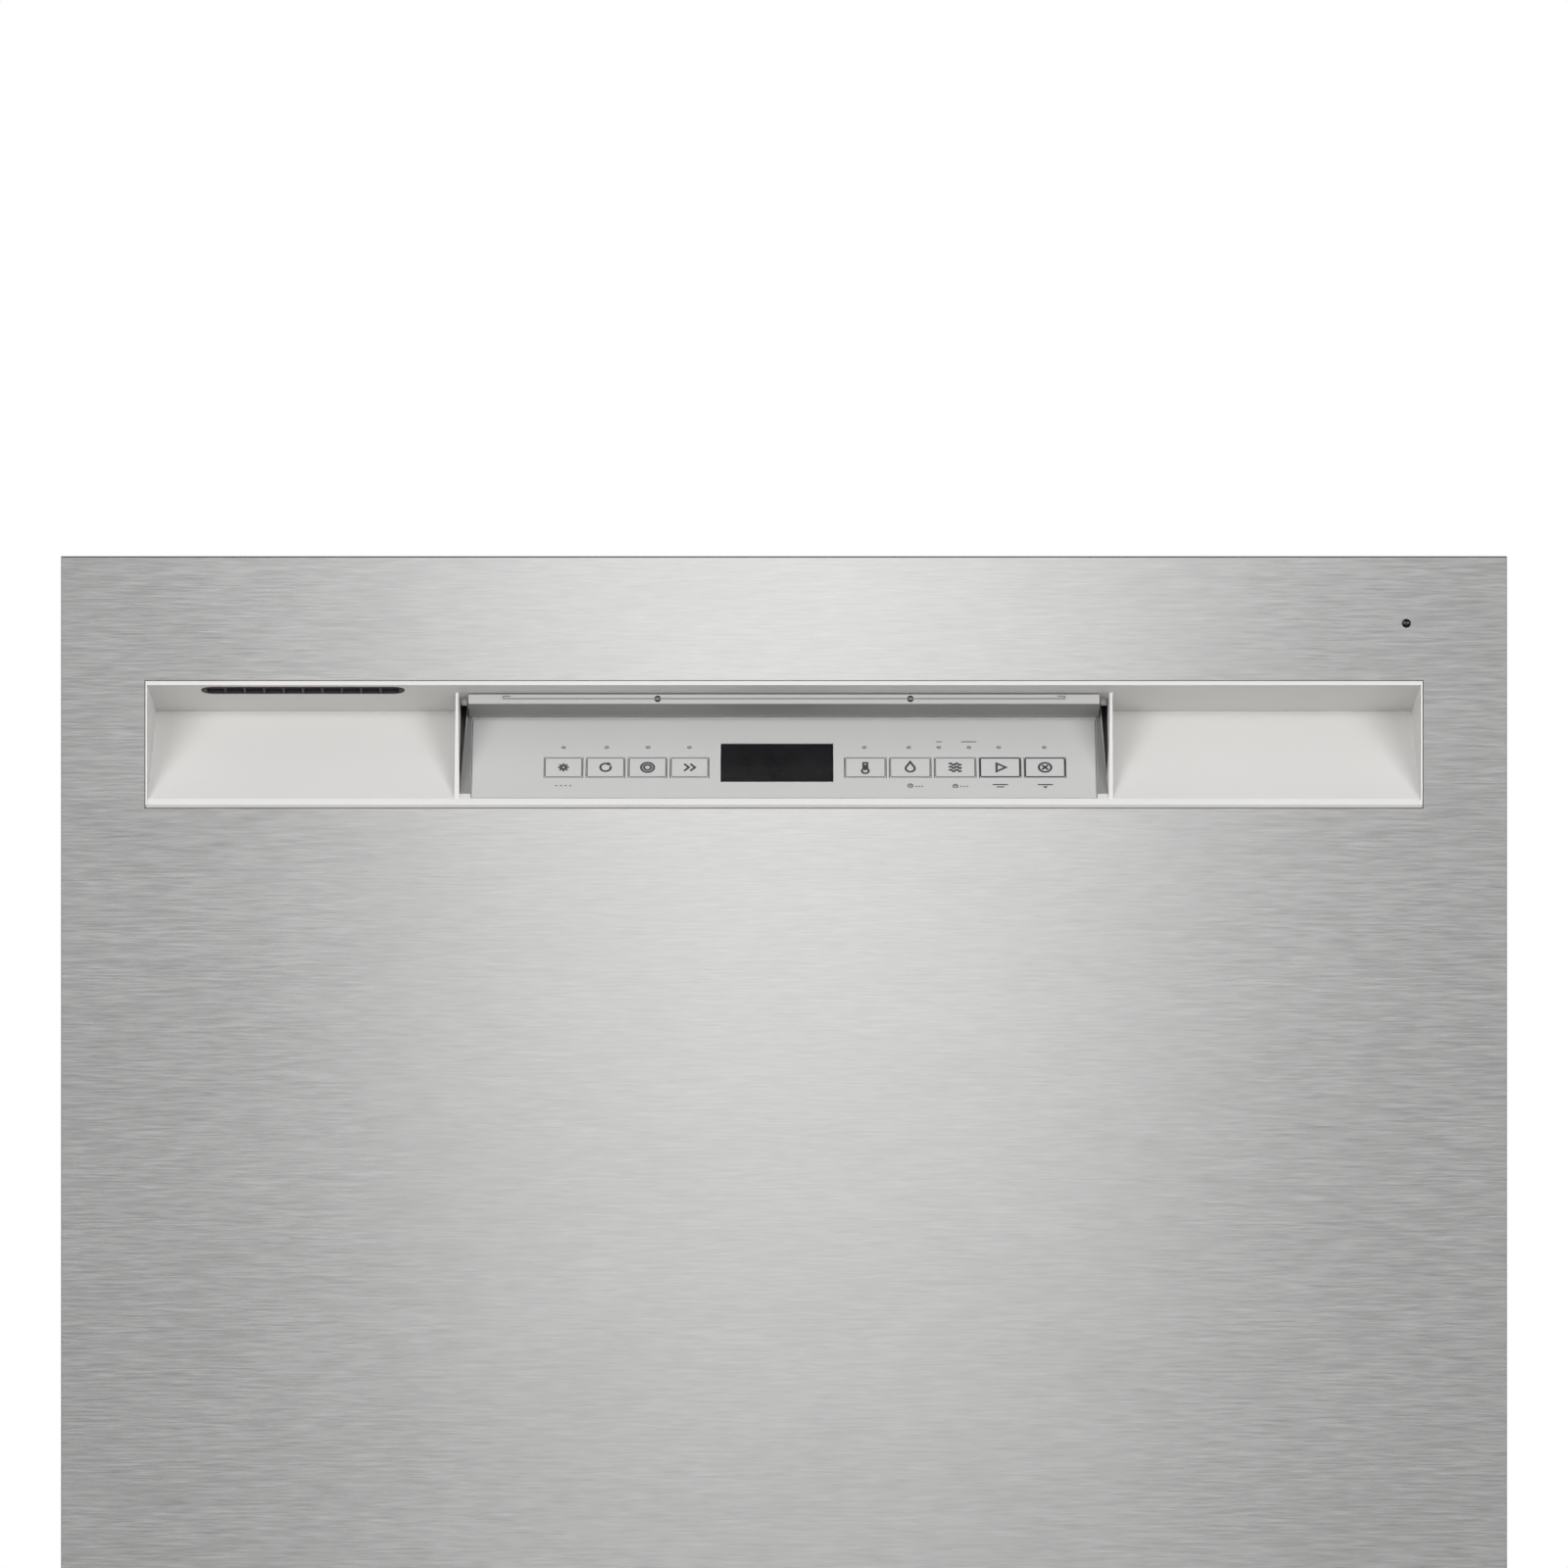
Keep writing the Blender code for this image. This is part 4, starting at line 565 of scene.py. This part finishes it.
def add_console_side_shades():
    """Mid-grey films of painted shade on the pocket at each side of the fascia, dark films of painted shadow in
    the gap where the cheeks shade it, and the thin line along the ledge.
    """
    for side in (-1, 1):
        # Painted shade: a mid-grey film on the pocket's slope between the cheek's gap and the fascia.
        work = bmesh.new()
        to_world = on_fascia(0, SIDE_SHADE_BOTTOM)
        tall = (SIDE_SHADE_BOTTOM - SIDE_SHADE_TOP) / KEY_UP.z
        outline = [(side * SIDE_SHADE_INNER, 0), (side * SIDE_SHADE_OUTER_BOTTOM, 0), (side * SIDE_SHADE_OUTER_TOP, tall),
                   (side * SIDE_SHADE_INNER, tall)]
        ring_loft(work, [[to_world(x, y, out) for x, y in outline] for out in (-0.3 * MM, 0.35 * MM)])
        hand = "left" if side < 0 else "right"
        make_piece("console_side_shade_" + hand, work, SIDE_SHADE_LOOK, "door", False)
        # Painted shadow: a dark film in the gap beside the fascia, where the pocket's cheek casts its shadow.
        cheek_shadow = bmesh.new()
        outline = [(side * SIDE_SHADE_OUTER_BOTTOM, 0), (side * CHEEK_SHADOW_OUTER, 0), (side * CHEEK_SHADOW_OUTER, tall),
                   (side * SIDE_SHADE_OUTER_TOP, tall)]
        ring_loft(cheek_shadow, [[to_world(x, y, out) for x, y in outline] for out in (-0.4 * MM, 0.1 * MM)])
        make_piece("console_cheek_shadow_" + hand, cheek_shadow, LOOKS["rubber"], "door", False)
    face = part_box("ledge_screw_left")[0][1]

    def on_ledge(x, y, out):
        return Vector((x, face - 0.08 * MM - out, DOOR_TOP - STRIP_DROP + y))

    hook = STRIP_HALF - 3 * STRIP_TICK
    line = [(-hook, STRIP_TICK), (-STRIP_HALF, STRIP_TICK), (-STRIP_HALF, 0), (STRIP_HALF, 0),
            (STRIP_HALF, STRIP_TICK), (hook, STRIP_TICK)]
    work = bmesh.new()
    add_ribbon(work, line, STRIP_LINE, PRINT_LOW, PRINT_HIGH, on_ledge)
    make_piece("ledge_strip_line", work, PRINT_GREY, "door", False)


def add_ledge_shade():
    """Painted shade: a dark film on the sloping underside of the ledge, above the fascia, where the ledge's shadow
    falls.
    """
    low, high = (Vector(c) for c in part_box("console_ledge"))
    front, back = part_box("ledge_screw_left")[0][1] + 0.6 * MM, high.y - 2.4 * MM
    near = surface_at("console_ledge", (0, front, low.z - 0.05), (0, 0, 1))[0]
    far = surface_at("console_ledge", (0, back, low.z - 0.05), (0, 0, 1))[0]
    half = high.x - 0.4 * MM
    corners = ((near, -half), (near, half), (far, half), (far, -half))
    work = bmesh.new()
    ring_loft(work, [[(x, spot.y, spot.z - drop) for spot, x in corners] for drop in (0.06 * MM, 0.18 * MM)])
    make_piece("ledge_shade", work, SHADE_LOOK, "door", False)


def print_captions():
    """Small generic marks below the keys and above two lamps: dots, a clock, a padlock and bars."""
    dots = [([(x - 0.5, 0), (x + 0.5, 0)], False) for x in (-3, -1, 1, 3)]
    clock = [circle_line(1.0), ([(0, 0.6), (0, 0), (0.5, -0.2)], False)]
    dashes = [([(2.0 + 1.3 * i, -0.4), (2.8 + 1.3 * i, -0.4)], False) for i in range(3)]
    lock = [([(-0.9, -0.9), (0.9, -0.9), (0.9, 0.2), (-0.9, 0.2)], True)]
    lock += [(arc((0, 0.2), 0.6, 0, 180, 10), False)]
    bar = [([(-3.2, 0.6), (3.2, 0.6)], False), ([(-1.6, -0.7), (1.6, -0.7)], False)]
    drain = [([(-3.2, 0.6), (3.2, 0.6)], False), ([(-0.7, -0.3), (0, -1.1), (0.7, -0.3)], False)]
    captions = {"key_left_1": dots, "key_right_2": clock + dashes, "key_right_3": lock + dashes,
                "key_right_4": bar, "key_right_5": drain}
    for node, lines in captions.items():
        low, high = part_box(node)
        look = PRINT_DARK if node in STRONG_KEYS else PRINT_GREY
        place = on_fascia((low[0] + high[0]) / 2, CAPTION_DROP)
        print_lines(node + "_caption", lines, place, "door", look, CAPTION_LINE)
    for name, x, half in (("short_time", 65.1 * MM, 1.2), ("long_time", 77.7 * MM, 3.2)):
        lines = [([(-half, 0), (half, 0)], False)]
        place = on_fascia(x, BAR_DROP)
        print_lines(name + "_caption", lines, place, "door", PRINT_GREY, BAR_LINE)


# ---- Door edges ----

LIP_CLEAR = 0.06 * MM
LIP_SET_BACK = 9 * MM


def add_edge_lip():
    """Dark trim that wraps over the folded edges of the steel skin, along its top and sides."""
    frame_low, frame_high = (Vector(c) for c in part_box("door_edge_frame"))
    skin_low, skin_high = (Vector(c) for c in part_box("door_outer_panel"))
    outer_x, outer_z = frame_high.x - 0.02 * MM, frame_high.z - 0.02 * MM
    inner_x, inner_z = skin_high.x + LIP_CLEAR, skin_high.z + LIP_CLEAR
    bottom = skin_low.z + 1 * MM
    front, back = skin_low.y + LIP_SET_BACK, frame_low.y - 0.1 * MM
    outer = [(-outer_x, bottom), (-outer_x, outer_z), (outer_x, outer_z), (outer_x, bottom)]
    inner = [(-inner_x, bottom), (-inner_x, inner_z), (inner_x, inner_z), (inner_x, bottom)]
    work = bmesh.new()
    ring_loft(work, [[(a, front, b), (c, front, d), (c, back, d), (a, back, b)]
                     for (a, b), (c, d) in zip(outer, inner)])
    make_piece("door_edge_lip", work, NODE_LOOKS["door_edge_frame"], "door", False)


# ---- Racks of coated wire ----

FRAME_WIRE = 2.6 * MM
GRID_WIRE = 1.5 * MM
TINE_WIRE = 1.6 * MM
RIM_CORNER = 26 * MM
WIRE_BEND = 12 * MM
WIRE_END_GAP = 34 * MM
TINE_END_GAP = 42 * MM
TINE_PITCH = 27 * MM
TINE_FOOT = 6 * MM


def rack_points(low, high, inset, level):
    """Points of a round-cornered ring of wire at one level of a rack, drawn in from its outside."""
    flat = rounded_rectangle(low.x + inset, high.x - inset, low.y + inset, high.y - inset, RIM_CORNER, 6)
    return [(x, y, level) for x, y in flat]


def spread_out(start, end, pitch):
    """Evenly spaced stations from start to end, no further apart than pitch."""
    count = max(1, math.ceil((end - start) / pitch))
    return [start + (end - start) * i / count for i in range(count + 1)]


def add_rack(node, body, pitch, taper, tine_tall, tine_lean, tine_columns, keep_out=None):
    """A rack of bent wires: rim, middle and floor rings, U-shaped cross wires, and rows of leaning tines."""
    low, high = (Vector(c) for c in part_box(node))
    work = bmesh.new()
    tall = high.z - low.z
    rim_level, floor_level = high.z - FRAME_WIRE, low.z + FRAME_WIRE
    for part, wire in ((1.0, FRAME_WIRE), (0.55, GRID_WIRE), (0.0, FRAME_WIRE)):
        level = floor_level + (rim_level - floor_level) * part
        inset = FRAME_WIRE + taper * (1 - part) + (0 if wire == FRAME_WIRE else FRAME_WIRE * 0.6)
        add_wire(work, rack_points(low, high, inset, level), wire, 8, True)
    side = FRAME_WIRE + GRID_WIRE
    deep = floor_level + FRAME_WIRE * 0.2
    for y in spread_out(low.y + taper + WIRE_END_GAP, high.y - taper - WIRE_END_GAP, pitch):
        path = [(low.x + side, y, rim_level), (low.x + side + taper, y, deep),
                (high.x - side - taper, y, deep), (high.x - side, y, rim_level)]
        add_wire(work, bent(path, WIRE_BEND), GRID_WIRE, 7)
    lift = deep + 2 * GRID_WIRE
    for x in spread_out(low.x + taper + WIRE_END_GAP, high.x - taper - WIRE_END_GAP, pitch * 1.25):
        path = [(x, low.y + side, rim_level), (x, low.y + side + taper, lift),
                (x, high.y - side - taper, lift), (x, high.y - side, rim_level)]
        add_wire(work, bent(path, WIRE_BEND), GRID_WIRE, 7)
    for x in tine_columns:
        rows = spread_out(low.y + TINE_END_GAP, high.y - TINE_END_GAP, TINE_PITCH)
        for y in rows:
            if keep_out and keep_out[0] < x < keep_out[1] and keep_out[2] < y < keep_out[3]:
                continue
            foot = (x, y, lift)
            tip = (x, y + tine_lean, lift + tine_tall)
            add_wire(work, [foot, (x, y + tine_lean * 0.05, lift + tine_tall * 0.1), tip], TINE_WIRE, 7)
        runs = [rows]
        if keep_out and keep_out[0] < x < keep_out[1]:
            runs = [[y for y in rows if y <= keep_out[2]], [y for y in rows if y >= keep_out[3]]]
        for run in runs:
            if len(run) > 1:
                add_wire(work, [(x, run[0] - TINE_FOOT, lift), (x, run[-1] + TINE_FOOT, lift)], TINE_WIRE, 7)
    piece = make_piece(node + "_wires", work, LOOKS["coated_wire"], body)
    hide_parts(node)


def add_racks():
    """Both racks, with no tines where the cutlery basket stands, and their clips and brackets."""
    basket_low, basket_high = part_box("silverware_basket")
    keep_out = (basket_low[0] - 6 * MM, basket_high[0] + 6 * MM,
                basket_low[1] - 10 * MM, basket_high[1] + 10 * MM)
    add_rack("lower_rack", "lower_rack_body", 30 * MM, 9 * MM, 78 * MM, 10 * MM,
             [c * MM for c in (-205, -150, -95, -40, 15, 70, 150, 205)], keep_out)
    add_rack("upper_rack", "upper_rack_body", 27 * MM, 7 * MM, 48 * MM, 7 * MM,
             [c * MM for c in (-190, -115, -38, 38, 115, 190)])
    add_wheel_clips()
    add_rail_brackets()


def add_wheel_clips():
    """Plastic plates on the lower rack's sides that hold the axles of its wheels."""
    rack_low, rack_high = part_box("lower_rack")
    for end in ("front", "back"):
        for side, hand in ((-1, "left"), (1, "right")):
            low, high = (Vector(c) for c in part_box("wheel_" + end + "_" + hand))
            centre = (low + high) / 2
            stub = min(abs(low.x), abs(high.x))
            inner = rack_high[0] + 0.4 * MM
            outer = stub - 0.2 * MM

            def to_world(y, z, out):
                return Vector((side * out, centre.y + y, centre.z + z))

            floor = rack_low[2] - centre.z
            outline = rounded_rectangle(-15 * MM, 15 * MM, -7 * MM, floor + 18 * MM, 5 * MM, 4)
            work = bmesh.new()
            add_slab(work, outline, inner, outer, to_world, 0.3 * MM)
            hook = rounded_rectangle(-13 * MM, 13 * MM, floor + 7 * MM, floor + 17 * MM, 3 * MM, 3)
            add_slab(work, hook, inner - 6 * MM, inner + 0.1 * MM, to_world, 0.3 * MM)
            make_piece("wheel_clip_" + end + "_" + hand, work, LOOKS["grey_plastic"], "lower_rack_body")


def add_rail_brackets():
    """Brackets on the upper rack's sides, with the rollers that run in the rails."""
    rack_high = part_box("upper_rack")[1]
    rail_low, rail_high = (Vector(c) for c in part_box("rack_rail_right"))
    middle = (rail_low.z + rail_high.z) / 2
    for end, y in (("front", 60 * MM), ("back", 190 * MM)):
        for side, hand in ((-1, "left"), (1, "right")):

            def to_world(along, up, out):
                return Vector((side * out, y + along, middle + up))

            inner = rack_high[0] + 0.4 * MM
            outer = rail_low.x - 0.6 * MM
            work = bmesh.new()
            plate = rounded_rectangle(-26 * MM, 26 * MM, -16 * MM, 40 * MM, 7 * MM, 4)
            add_slab(work, plate, inner, inner + 3 * MM, to_world, 0.4 * MM)
            add_turned(work, [(0, inner + 2.9 * MM), (9 * MM, inner + 2.9 * MM), (9.6 * MM, inner + 3.5 * MM),
                              (9.6 * MM, outer - 0.6 * MM), (9 * MM, outer), (0, outer)],
                       (0, y, middle), (side, 0, 0), 28)
            make_piece("rack_bracket_" + end + "_" + hand, work, LOOKS["grey_plastic"], "upper_rack_body")


# ---- Cabinet: damping mats, ribs, screws and nozzles ----

def surface_at(node, start, direction):
    """Where a ray from start meets a CAD node, and the surface's direction there."""
    found, spot, normal, _ = NODES[node].ray_cast(Vector(start), Vector(direction).normalized())
    if not found:
        raise ValueError("no surface of " + node + " at " + str(start))
    return spot, normal


def facing(spot, normal, up):
    """The map from (across, up, out) on a surface to the world."""
    normal = Vector(normal).normalized()
    up = (Vector(up) - normal * normal.dot(Vector(up))).normalized()
    across = up.cross(normal)

    def to_world(x, y, out):
        return spot + across * x + up * y + normal * out

    return to_world


MAT_THICK = 1.8 * MM
MAT_GAP = 0.3 * MM


def add_mats():
    """Bitumen mats stuck to the outside of the tub: two on each side, one on the roof, two on the back."""
    low, high = (Vector(c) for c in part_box("tub"))
    middle = (low + high) / 2
    look = damping_mat()
    spots = []
    for side, hand in ((-1, "left"), (1, "right")):
        for name, y, z, wide, tall in (("upper", 0.00, 0.14, 0.40, 0.26), ("lower", 0.02, -0.17, 0.36, 0.22)):
            start = (side, middle.y + y, middle.z + z)
            spots.append((name + "_" + hand, start, (-side, 0, 0), (0, 0, 1), wide, tall))
    spots.append(("roof", (0, middle.y + 0.02, 2.0), (0, 0, -1), (0, 1, 0), 0.44, 0.36))
    spots.append(("back_upper", (0, 2.0, middle.z + 0.15), (0, -1, 0), (0, 0, 1), 0.40, 0.24))
    spots.append(("back_lower", (0, 2.0, middle.z - 0.16), (0, -1, 0), (0, 0, 1), 0.40, 0.22))
    for name, start, direction, up, wide, tall in spots:
        spot, normal = surface_at("tub", start, direction)
        outline = rounded_rectangle(-wide / 2, wide / 2, -tall / 2, tall / 2, 12 * MM, 4)
        work = bmesh.new()
        add_slab(work, outline, MAT_GAP, MAT_GAP + MAT_THICK, facing(spot, normal, up), 0.5 * MM)
        make_piece("damping_mat_" + name, work, look, "root")


def add_nozzles():
    """Oval jet nozzles along the spray arms."""
    for node, body in (("lower_spray_arm", "lower_arm"), ("upper_spray_arm", "upper_arm")):
        low, high = (Vector(c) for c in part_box(node))
        centre = (low + high) / 2
        long_way = Vector((1, 0, 0)) if high.x - low.x > high.y - low.y else Vector((0, 1, 0))
        reach = max(high.x - low.x, high.y - low.y) / 2
        ring, slot_piece = bmesh.new(), bmesh.new()
        for turn in (-1, 1):
            for part, shift in ((0.26, -0.3), (0.42, 0.35), (0.57, -0.2), (0.71, 0.25), (0.84, -0.1)):
                across = Vector((-long_way.y, long_way.x, 0)) * 8 * MM * shift
                spot = centre + long_way * reach * part * turn + across * turn
                hit, normal = surface_at(node, (spot.x, spot.y, high.z + 0.05), (0, 0, -1))
                to_world = facing(hit, normal, long_way)
                oval = [(x * 3.4 * MM, y * 2.4 * MM) for x, y in arc((0, 0), 1.0, 0, 345, 23)]
                add_slab(ring, oval, -0.2 * MM, 0.5 * MM, to_world, 0.1 * MM)
                # Painted shade: a dark oval film stands for the shaded inside of each nozzle's hole.
                mouth = [(x * 2.2 * MM, y * 0.9 * MM) for x, y in arc((0, 0), 1.0, 0, 340, 17)]
                add_slab(slot_piece, mouth, 0.4 * MM, 0.56 * MM, to_world)
        make_piece(node + "_nozzles", ring, LOOKS["grey_plastic"], body)
        make_piece(node + "_nozzle_mouths", slot_piece, LOOKS["rubber"], body, False)


def add_louvres():
    """Two banks of pressed louvres in the toe kick, each with a dark film of painted shade where its slot opens.
    """
    low, high = (Vector(c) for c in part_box("toe_kick_panel"))
    hood, mouth = bmesh.new(), bmesh.new()
    hood_outline = rounded_rectangle(-60 * MM, 60 * MM, 0, 3.4 * MM, 1.6 * MM, 4)
    mouth_outline = rounded_rectangle(-58 * MM, 58 * MM, -1.6 * MM, -0.1 * MM, 0.7 * MM, 4)
    for x in (-150 * MM, 150 * MM):
        for z in spread_out(low.z + 34 * MM, high.z - 34 * MM, 9 * MM):
            hit, normal = surface_at("toe_kick_panel", (x, -1.0, z), (0, 1, 0))
            to_world = facing(hit, normal, (0, 0, 1))
            add_slab(hood, hood_outline, -0.1 * MM, 1.3 * MM, to_world, 0.4 * MM)
            # Painted shade: a dark film under each hood stands for the open slot.
            add_slab(mouth, mouth_outline, -0.1 * MM, 0.08 * MM, to_world)
    make_piece("kick_louvres", hood, LOOKS["black_painted"], "root")
    make_piece("kick_louvre_slots", mouth, LOOKS["rubber"], "root", False)


def add_base_ribs():
    """Stiffening ribs down both sides of the base, under a rail along their top."""
    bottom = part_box("base_frame")[0][2]
    front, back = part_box("tub")[0][1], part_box("tub")[1][1]
    work = bmesh.new()
    for side in (-1, 1):
        rail_at = (side, (front + back) / 2, bottom + 106 * MM)
        ribs = [((side, y, bottom + 58 * MM), 2 * MM, 42 * MM, 2.4 * MM)
                for y in spread_out(front + 60 * MM, back - 40 * MM, 82 * MM)]
        for start, half_wide, half_tall, proud in ribs + [(rail_at, 230 * MM, 2.5 * MM, 2.0 * MM)]:
            hit, normal = surface_at("base_frame", start, (-side, 0, 0))
            outline = rounded_rectangle(-half_wide, half_wide, -half_tall, half_tall, 1.5 * MM, 4)
            add_slab(work, outline, -0.1 * MM, proud, facing(hit, normal, (0, 0, 1)), 0.5 * MM)
    make_piece("base_ribs", work, LOOKS["dark_plastic"], "root")


def add_screws():
    """Cross-head screws that hold the door liner and the toe kick."""
    liner_low, liner_high = (Vector(c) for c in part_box("door_inner_liner"))
    kick_low, kick_high = (Vector(c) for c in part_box("toe_kick_panel"))
    spots = []
    for side in (-1, 1):
        for z in spread_out(liner_low.z + 60 * MM, liner_high.z - 60 * MM, 210 * MM):
            spots.append(("door_inner_liner", "door", (side * (liner_high.x - 12 * MM), 1.0, z), (0, -1, 0)))
        for z in (kick_low.z + 28 * MM, kick_high.z - 22 * MM):
            spots.append(("toe_kick_panel", "root", (side * (kick_high.x - 22 * MM), -1.0, z), (0, 1, 0)))
    head_profile = [(0, 0.0), (3.6 * MM, 0.0), (3.6 * MM, 0.5 * MM), (3.0 * MM, 1.1 * MM),
                    (1.8 * MM, 1.45 * MM), (0, 1.55 * MM)]
    heads = {}
    for node, body, start, direction in spots:
        hit, normal = surface_at(node, start, direction)
        head, cross = heads.setdefault((node, body), (bmesh.new(), bmesh.new()))
        add_turned(head, head_profile, hit + normal * 0.05 * MM, normal, 20)
        to_world = facing(hit, normal, (0, 0, 1))
        # Painted shade: dark ribbons stand for the shaded cross recess in each screw head.
        for points in ([(-1.5 * MM, 0), (1.5 * MM, 0)], [(0, -1.5 * MM), (0, 1.5 * MM)]):
            add_ribbon(cross, points, 0.55 * MM, 1.4 * MM, 1.66 * MM, to_world)
    for (node, body), (head, cross) in heads.items():
        make_piece(node + "_screws", head, LOOKS["screw_steel"], body)
        make_piece(node + "_screw_crosses", cross, LOOKS["rubber"], body, False)


# ---- Studio and camera ----

PHOTO_WIDE = 0.656
VIEW_CENTRE_DROP = 0.0955
CAMERA_BACK = 5.0
SENSOR = 36.0
WORLD_SEEN = 1.0
WORLD_LIGHT = 0.24
FLOOR_RADIUS = 3.2
FLOOR_DROP = 0.5 * MM
CARD_LIFT = 0.30
SIDE_LIGHT_AWAY = 2.1
SIDE_LIGHT_SPREAD = 70


def area_light(name, where, target, wide, tall, radiance, spread=180):
    """A softbox whose face shows this radiance, where 1 is a white card in the picture."""
    data = bpy.data.lights.new(name, "AREA")
    data.shape = "RECTANGLE"
    data.size = wide
    data.size_y = tall
    data.energy = math.pi * wide * tall * radiance
    data.spread = math.radians(spread)
    lamp = bpy.data.objects.new(name, data)
    lamp.location = where
    lamp.rotation_euler = (Vector(target) - Vector(where)).to_track_quat("-Z", "Y").to_euler()
    bpy.context.scene.collection.objects.link(lamp)


def make_world(seen, lit):
    """White behind the object, and a softer grey as light."""
    world = bpy.data.worlds.new("studio")
    bpy.context.scene.world = world
    world.use_nodes = True
    tree = world.node_tree
    tree.nodes.clear()
    mix = tree.nodes.new("ShaderNodeMixShader")
    path = tree.nodes.new("ShaderNodeLightPath")
    out = tree.nodes.new("ShaderNodeOutputWorld")
    for slot_number, strength in ((1, lit), (2, seen)):
        glow = tree.nodes.new("ShaderNodeBackground")
        glow.inputs["Color"].default_value = (1, 1, 1, 1)
        glow.inputs["Strength"].default_value = strength
        tree.links.new(glow.outputs[0], mix.inputs[slot_number])
    tree.links.new(path.outputs["Is Camera Ray"], mix.inputs[0])
    tree.links.new(mix.outputs[0], out.inputs[0])


def make_floor():
    """A pale disc under the object."""
    work = bmesh.new()
    bmesh.ops.create_circle(work, cap_ends=True, segments=128, radius=FLOOR_RADIUS)
    mesh = bpy.data.meshes.new("studio_floor")
    work.to_mesh(mesh)
    work.free()
    look = Surface("studio_floor", (0.66, 0.66, 0.655), 0.75)
    look.tint(look.noise(3.0), 0.985, 1.015)
    mesh.materials.append(look.made)
    floor = bpy.data.objects.new("studio_floor", mesh)
    floor.location.z = -FLOOR_DROP
    bpy.context.scene.collection.objects.link(floor)


def make_studio():
    """World, floor, softboxes and the camera that repeats the photograph's view."""
    make_world(WORLD_SEEN, WORLD_LIGHT)
    make_floor()
    front = CAD_BOX[0][1]
    centre = DOOR_TOP - VIEW_CENTRE_DROP
    aim = (0, front, centre)
    card_height = centre + CARD_LIFT
    area_light("front_card", (0.0, front - 1.2, card_height), (0, front, card_height), 0.40, 1.2, 1.60)
    area_light("top_softbox", (0.0, front - 1.6, 2.9), aim, 2.6, 1.6, 0.5)
    for hand, x in (("left", -SIDE_LIGHT_AWAY), ("right", SIDE_LIGHT_AWAY)):
        where = (x, front - 3.6, centre + 0.85)
        area_light(hand + "_softbox", where, aim, 1.8, 1.2, 1.9, SIDE_LIGHT_SPREAD)
    area_light("ceiling_softbox", (0, 1.5, 3.2), (0, 1.5, 0), 3.0, 3.0, 1.4)
    area_light("back_softbox", (0.6, 3.2, 2.2), (0, 0, 0.5), 2.4, 2.0, 2.0)
    data = bpy.data.cameras.new("camera")
    data.sensor_width = SENSOR
    data.lens = SENSOR * CAMERA_BACK / PHOTO_WIDE
    camera = bpy.data.objects.new("camera", data)
    camera.location = (0.0, front - CAMERA_BACK, centre)
    camera.rotation_euler = (math.pi / 2, 0, 0)
    bpy.context.scene.collection.objects.link(camera)
    bpy.context.scene.camera = camera
    bpy.context.scene.view_settings.view_transform = "Standard"


dress_nodes()
soften("door_outer_panel", 0.4 * MM, 3)
print_keys()
print_captions()
add_console_side_shades()
add_ledge_shade()
add_edge_lip()
add_racks()
add_mats()
add_nozzles()
add_louvres()
add_base_ribs()
add_screws()
make_studio()
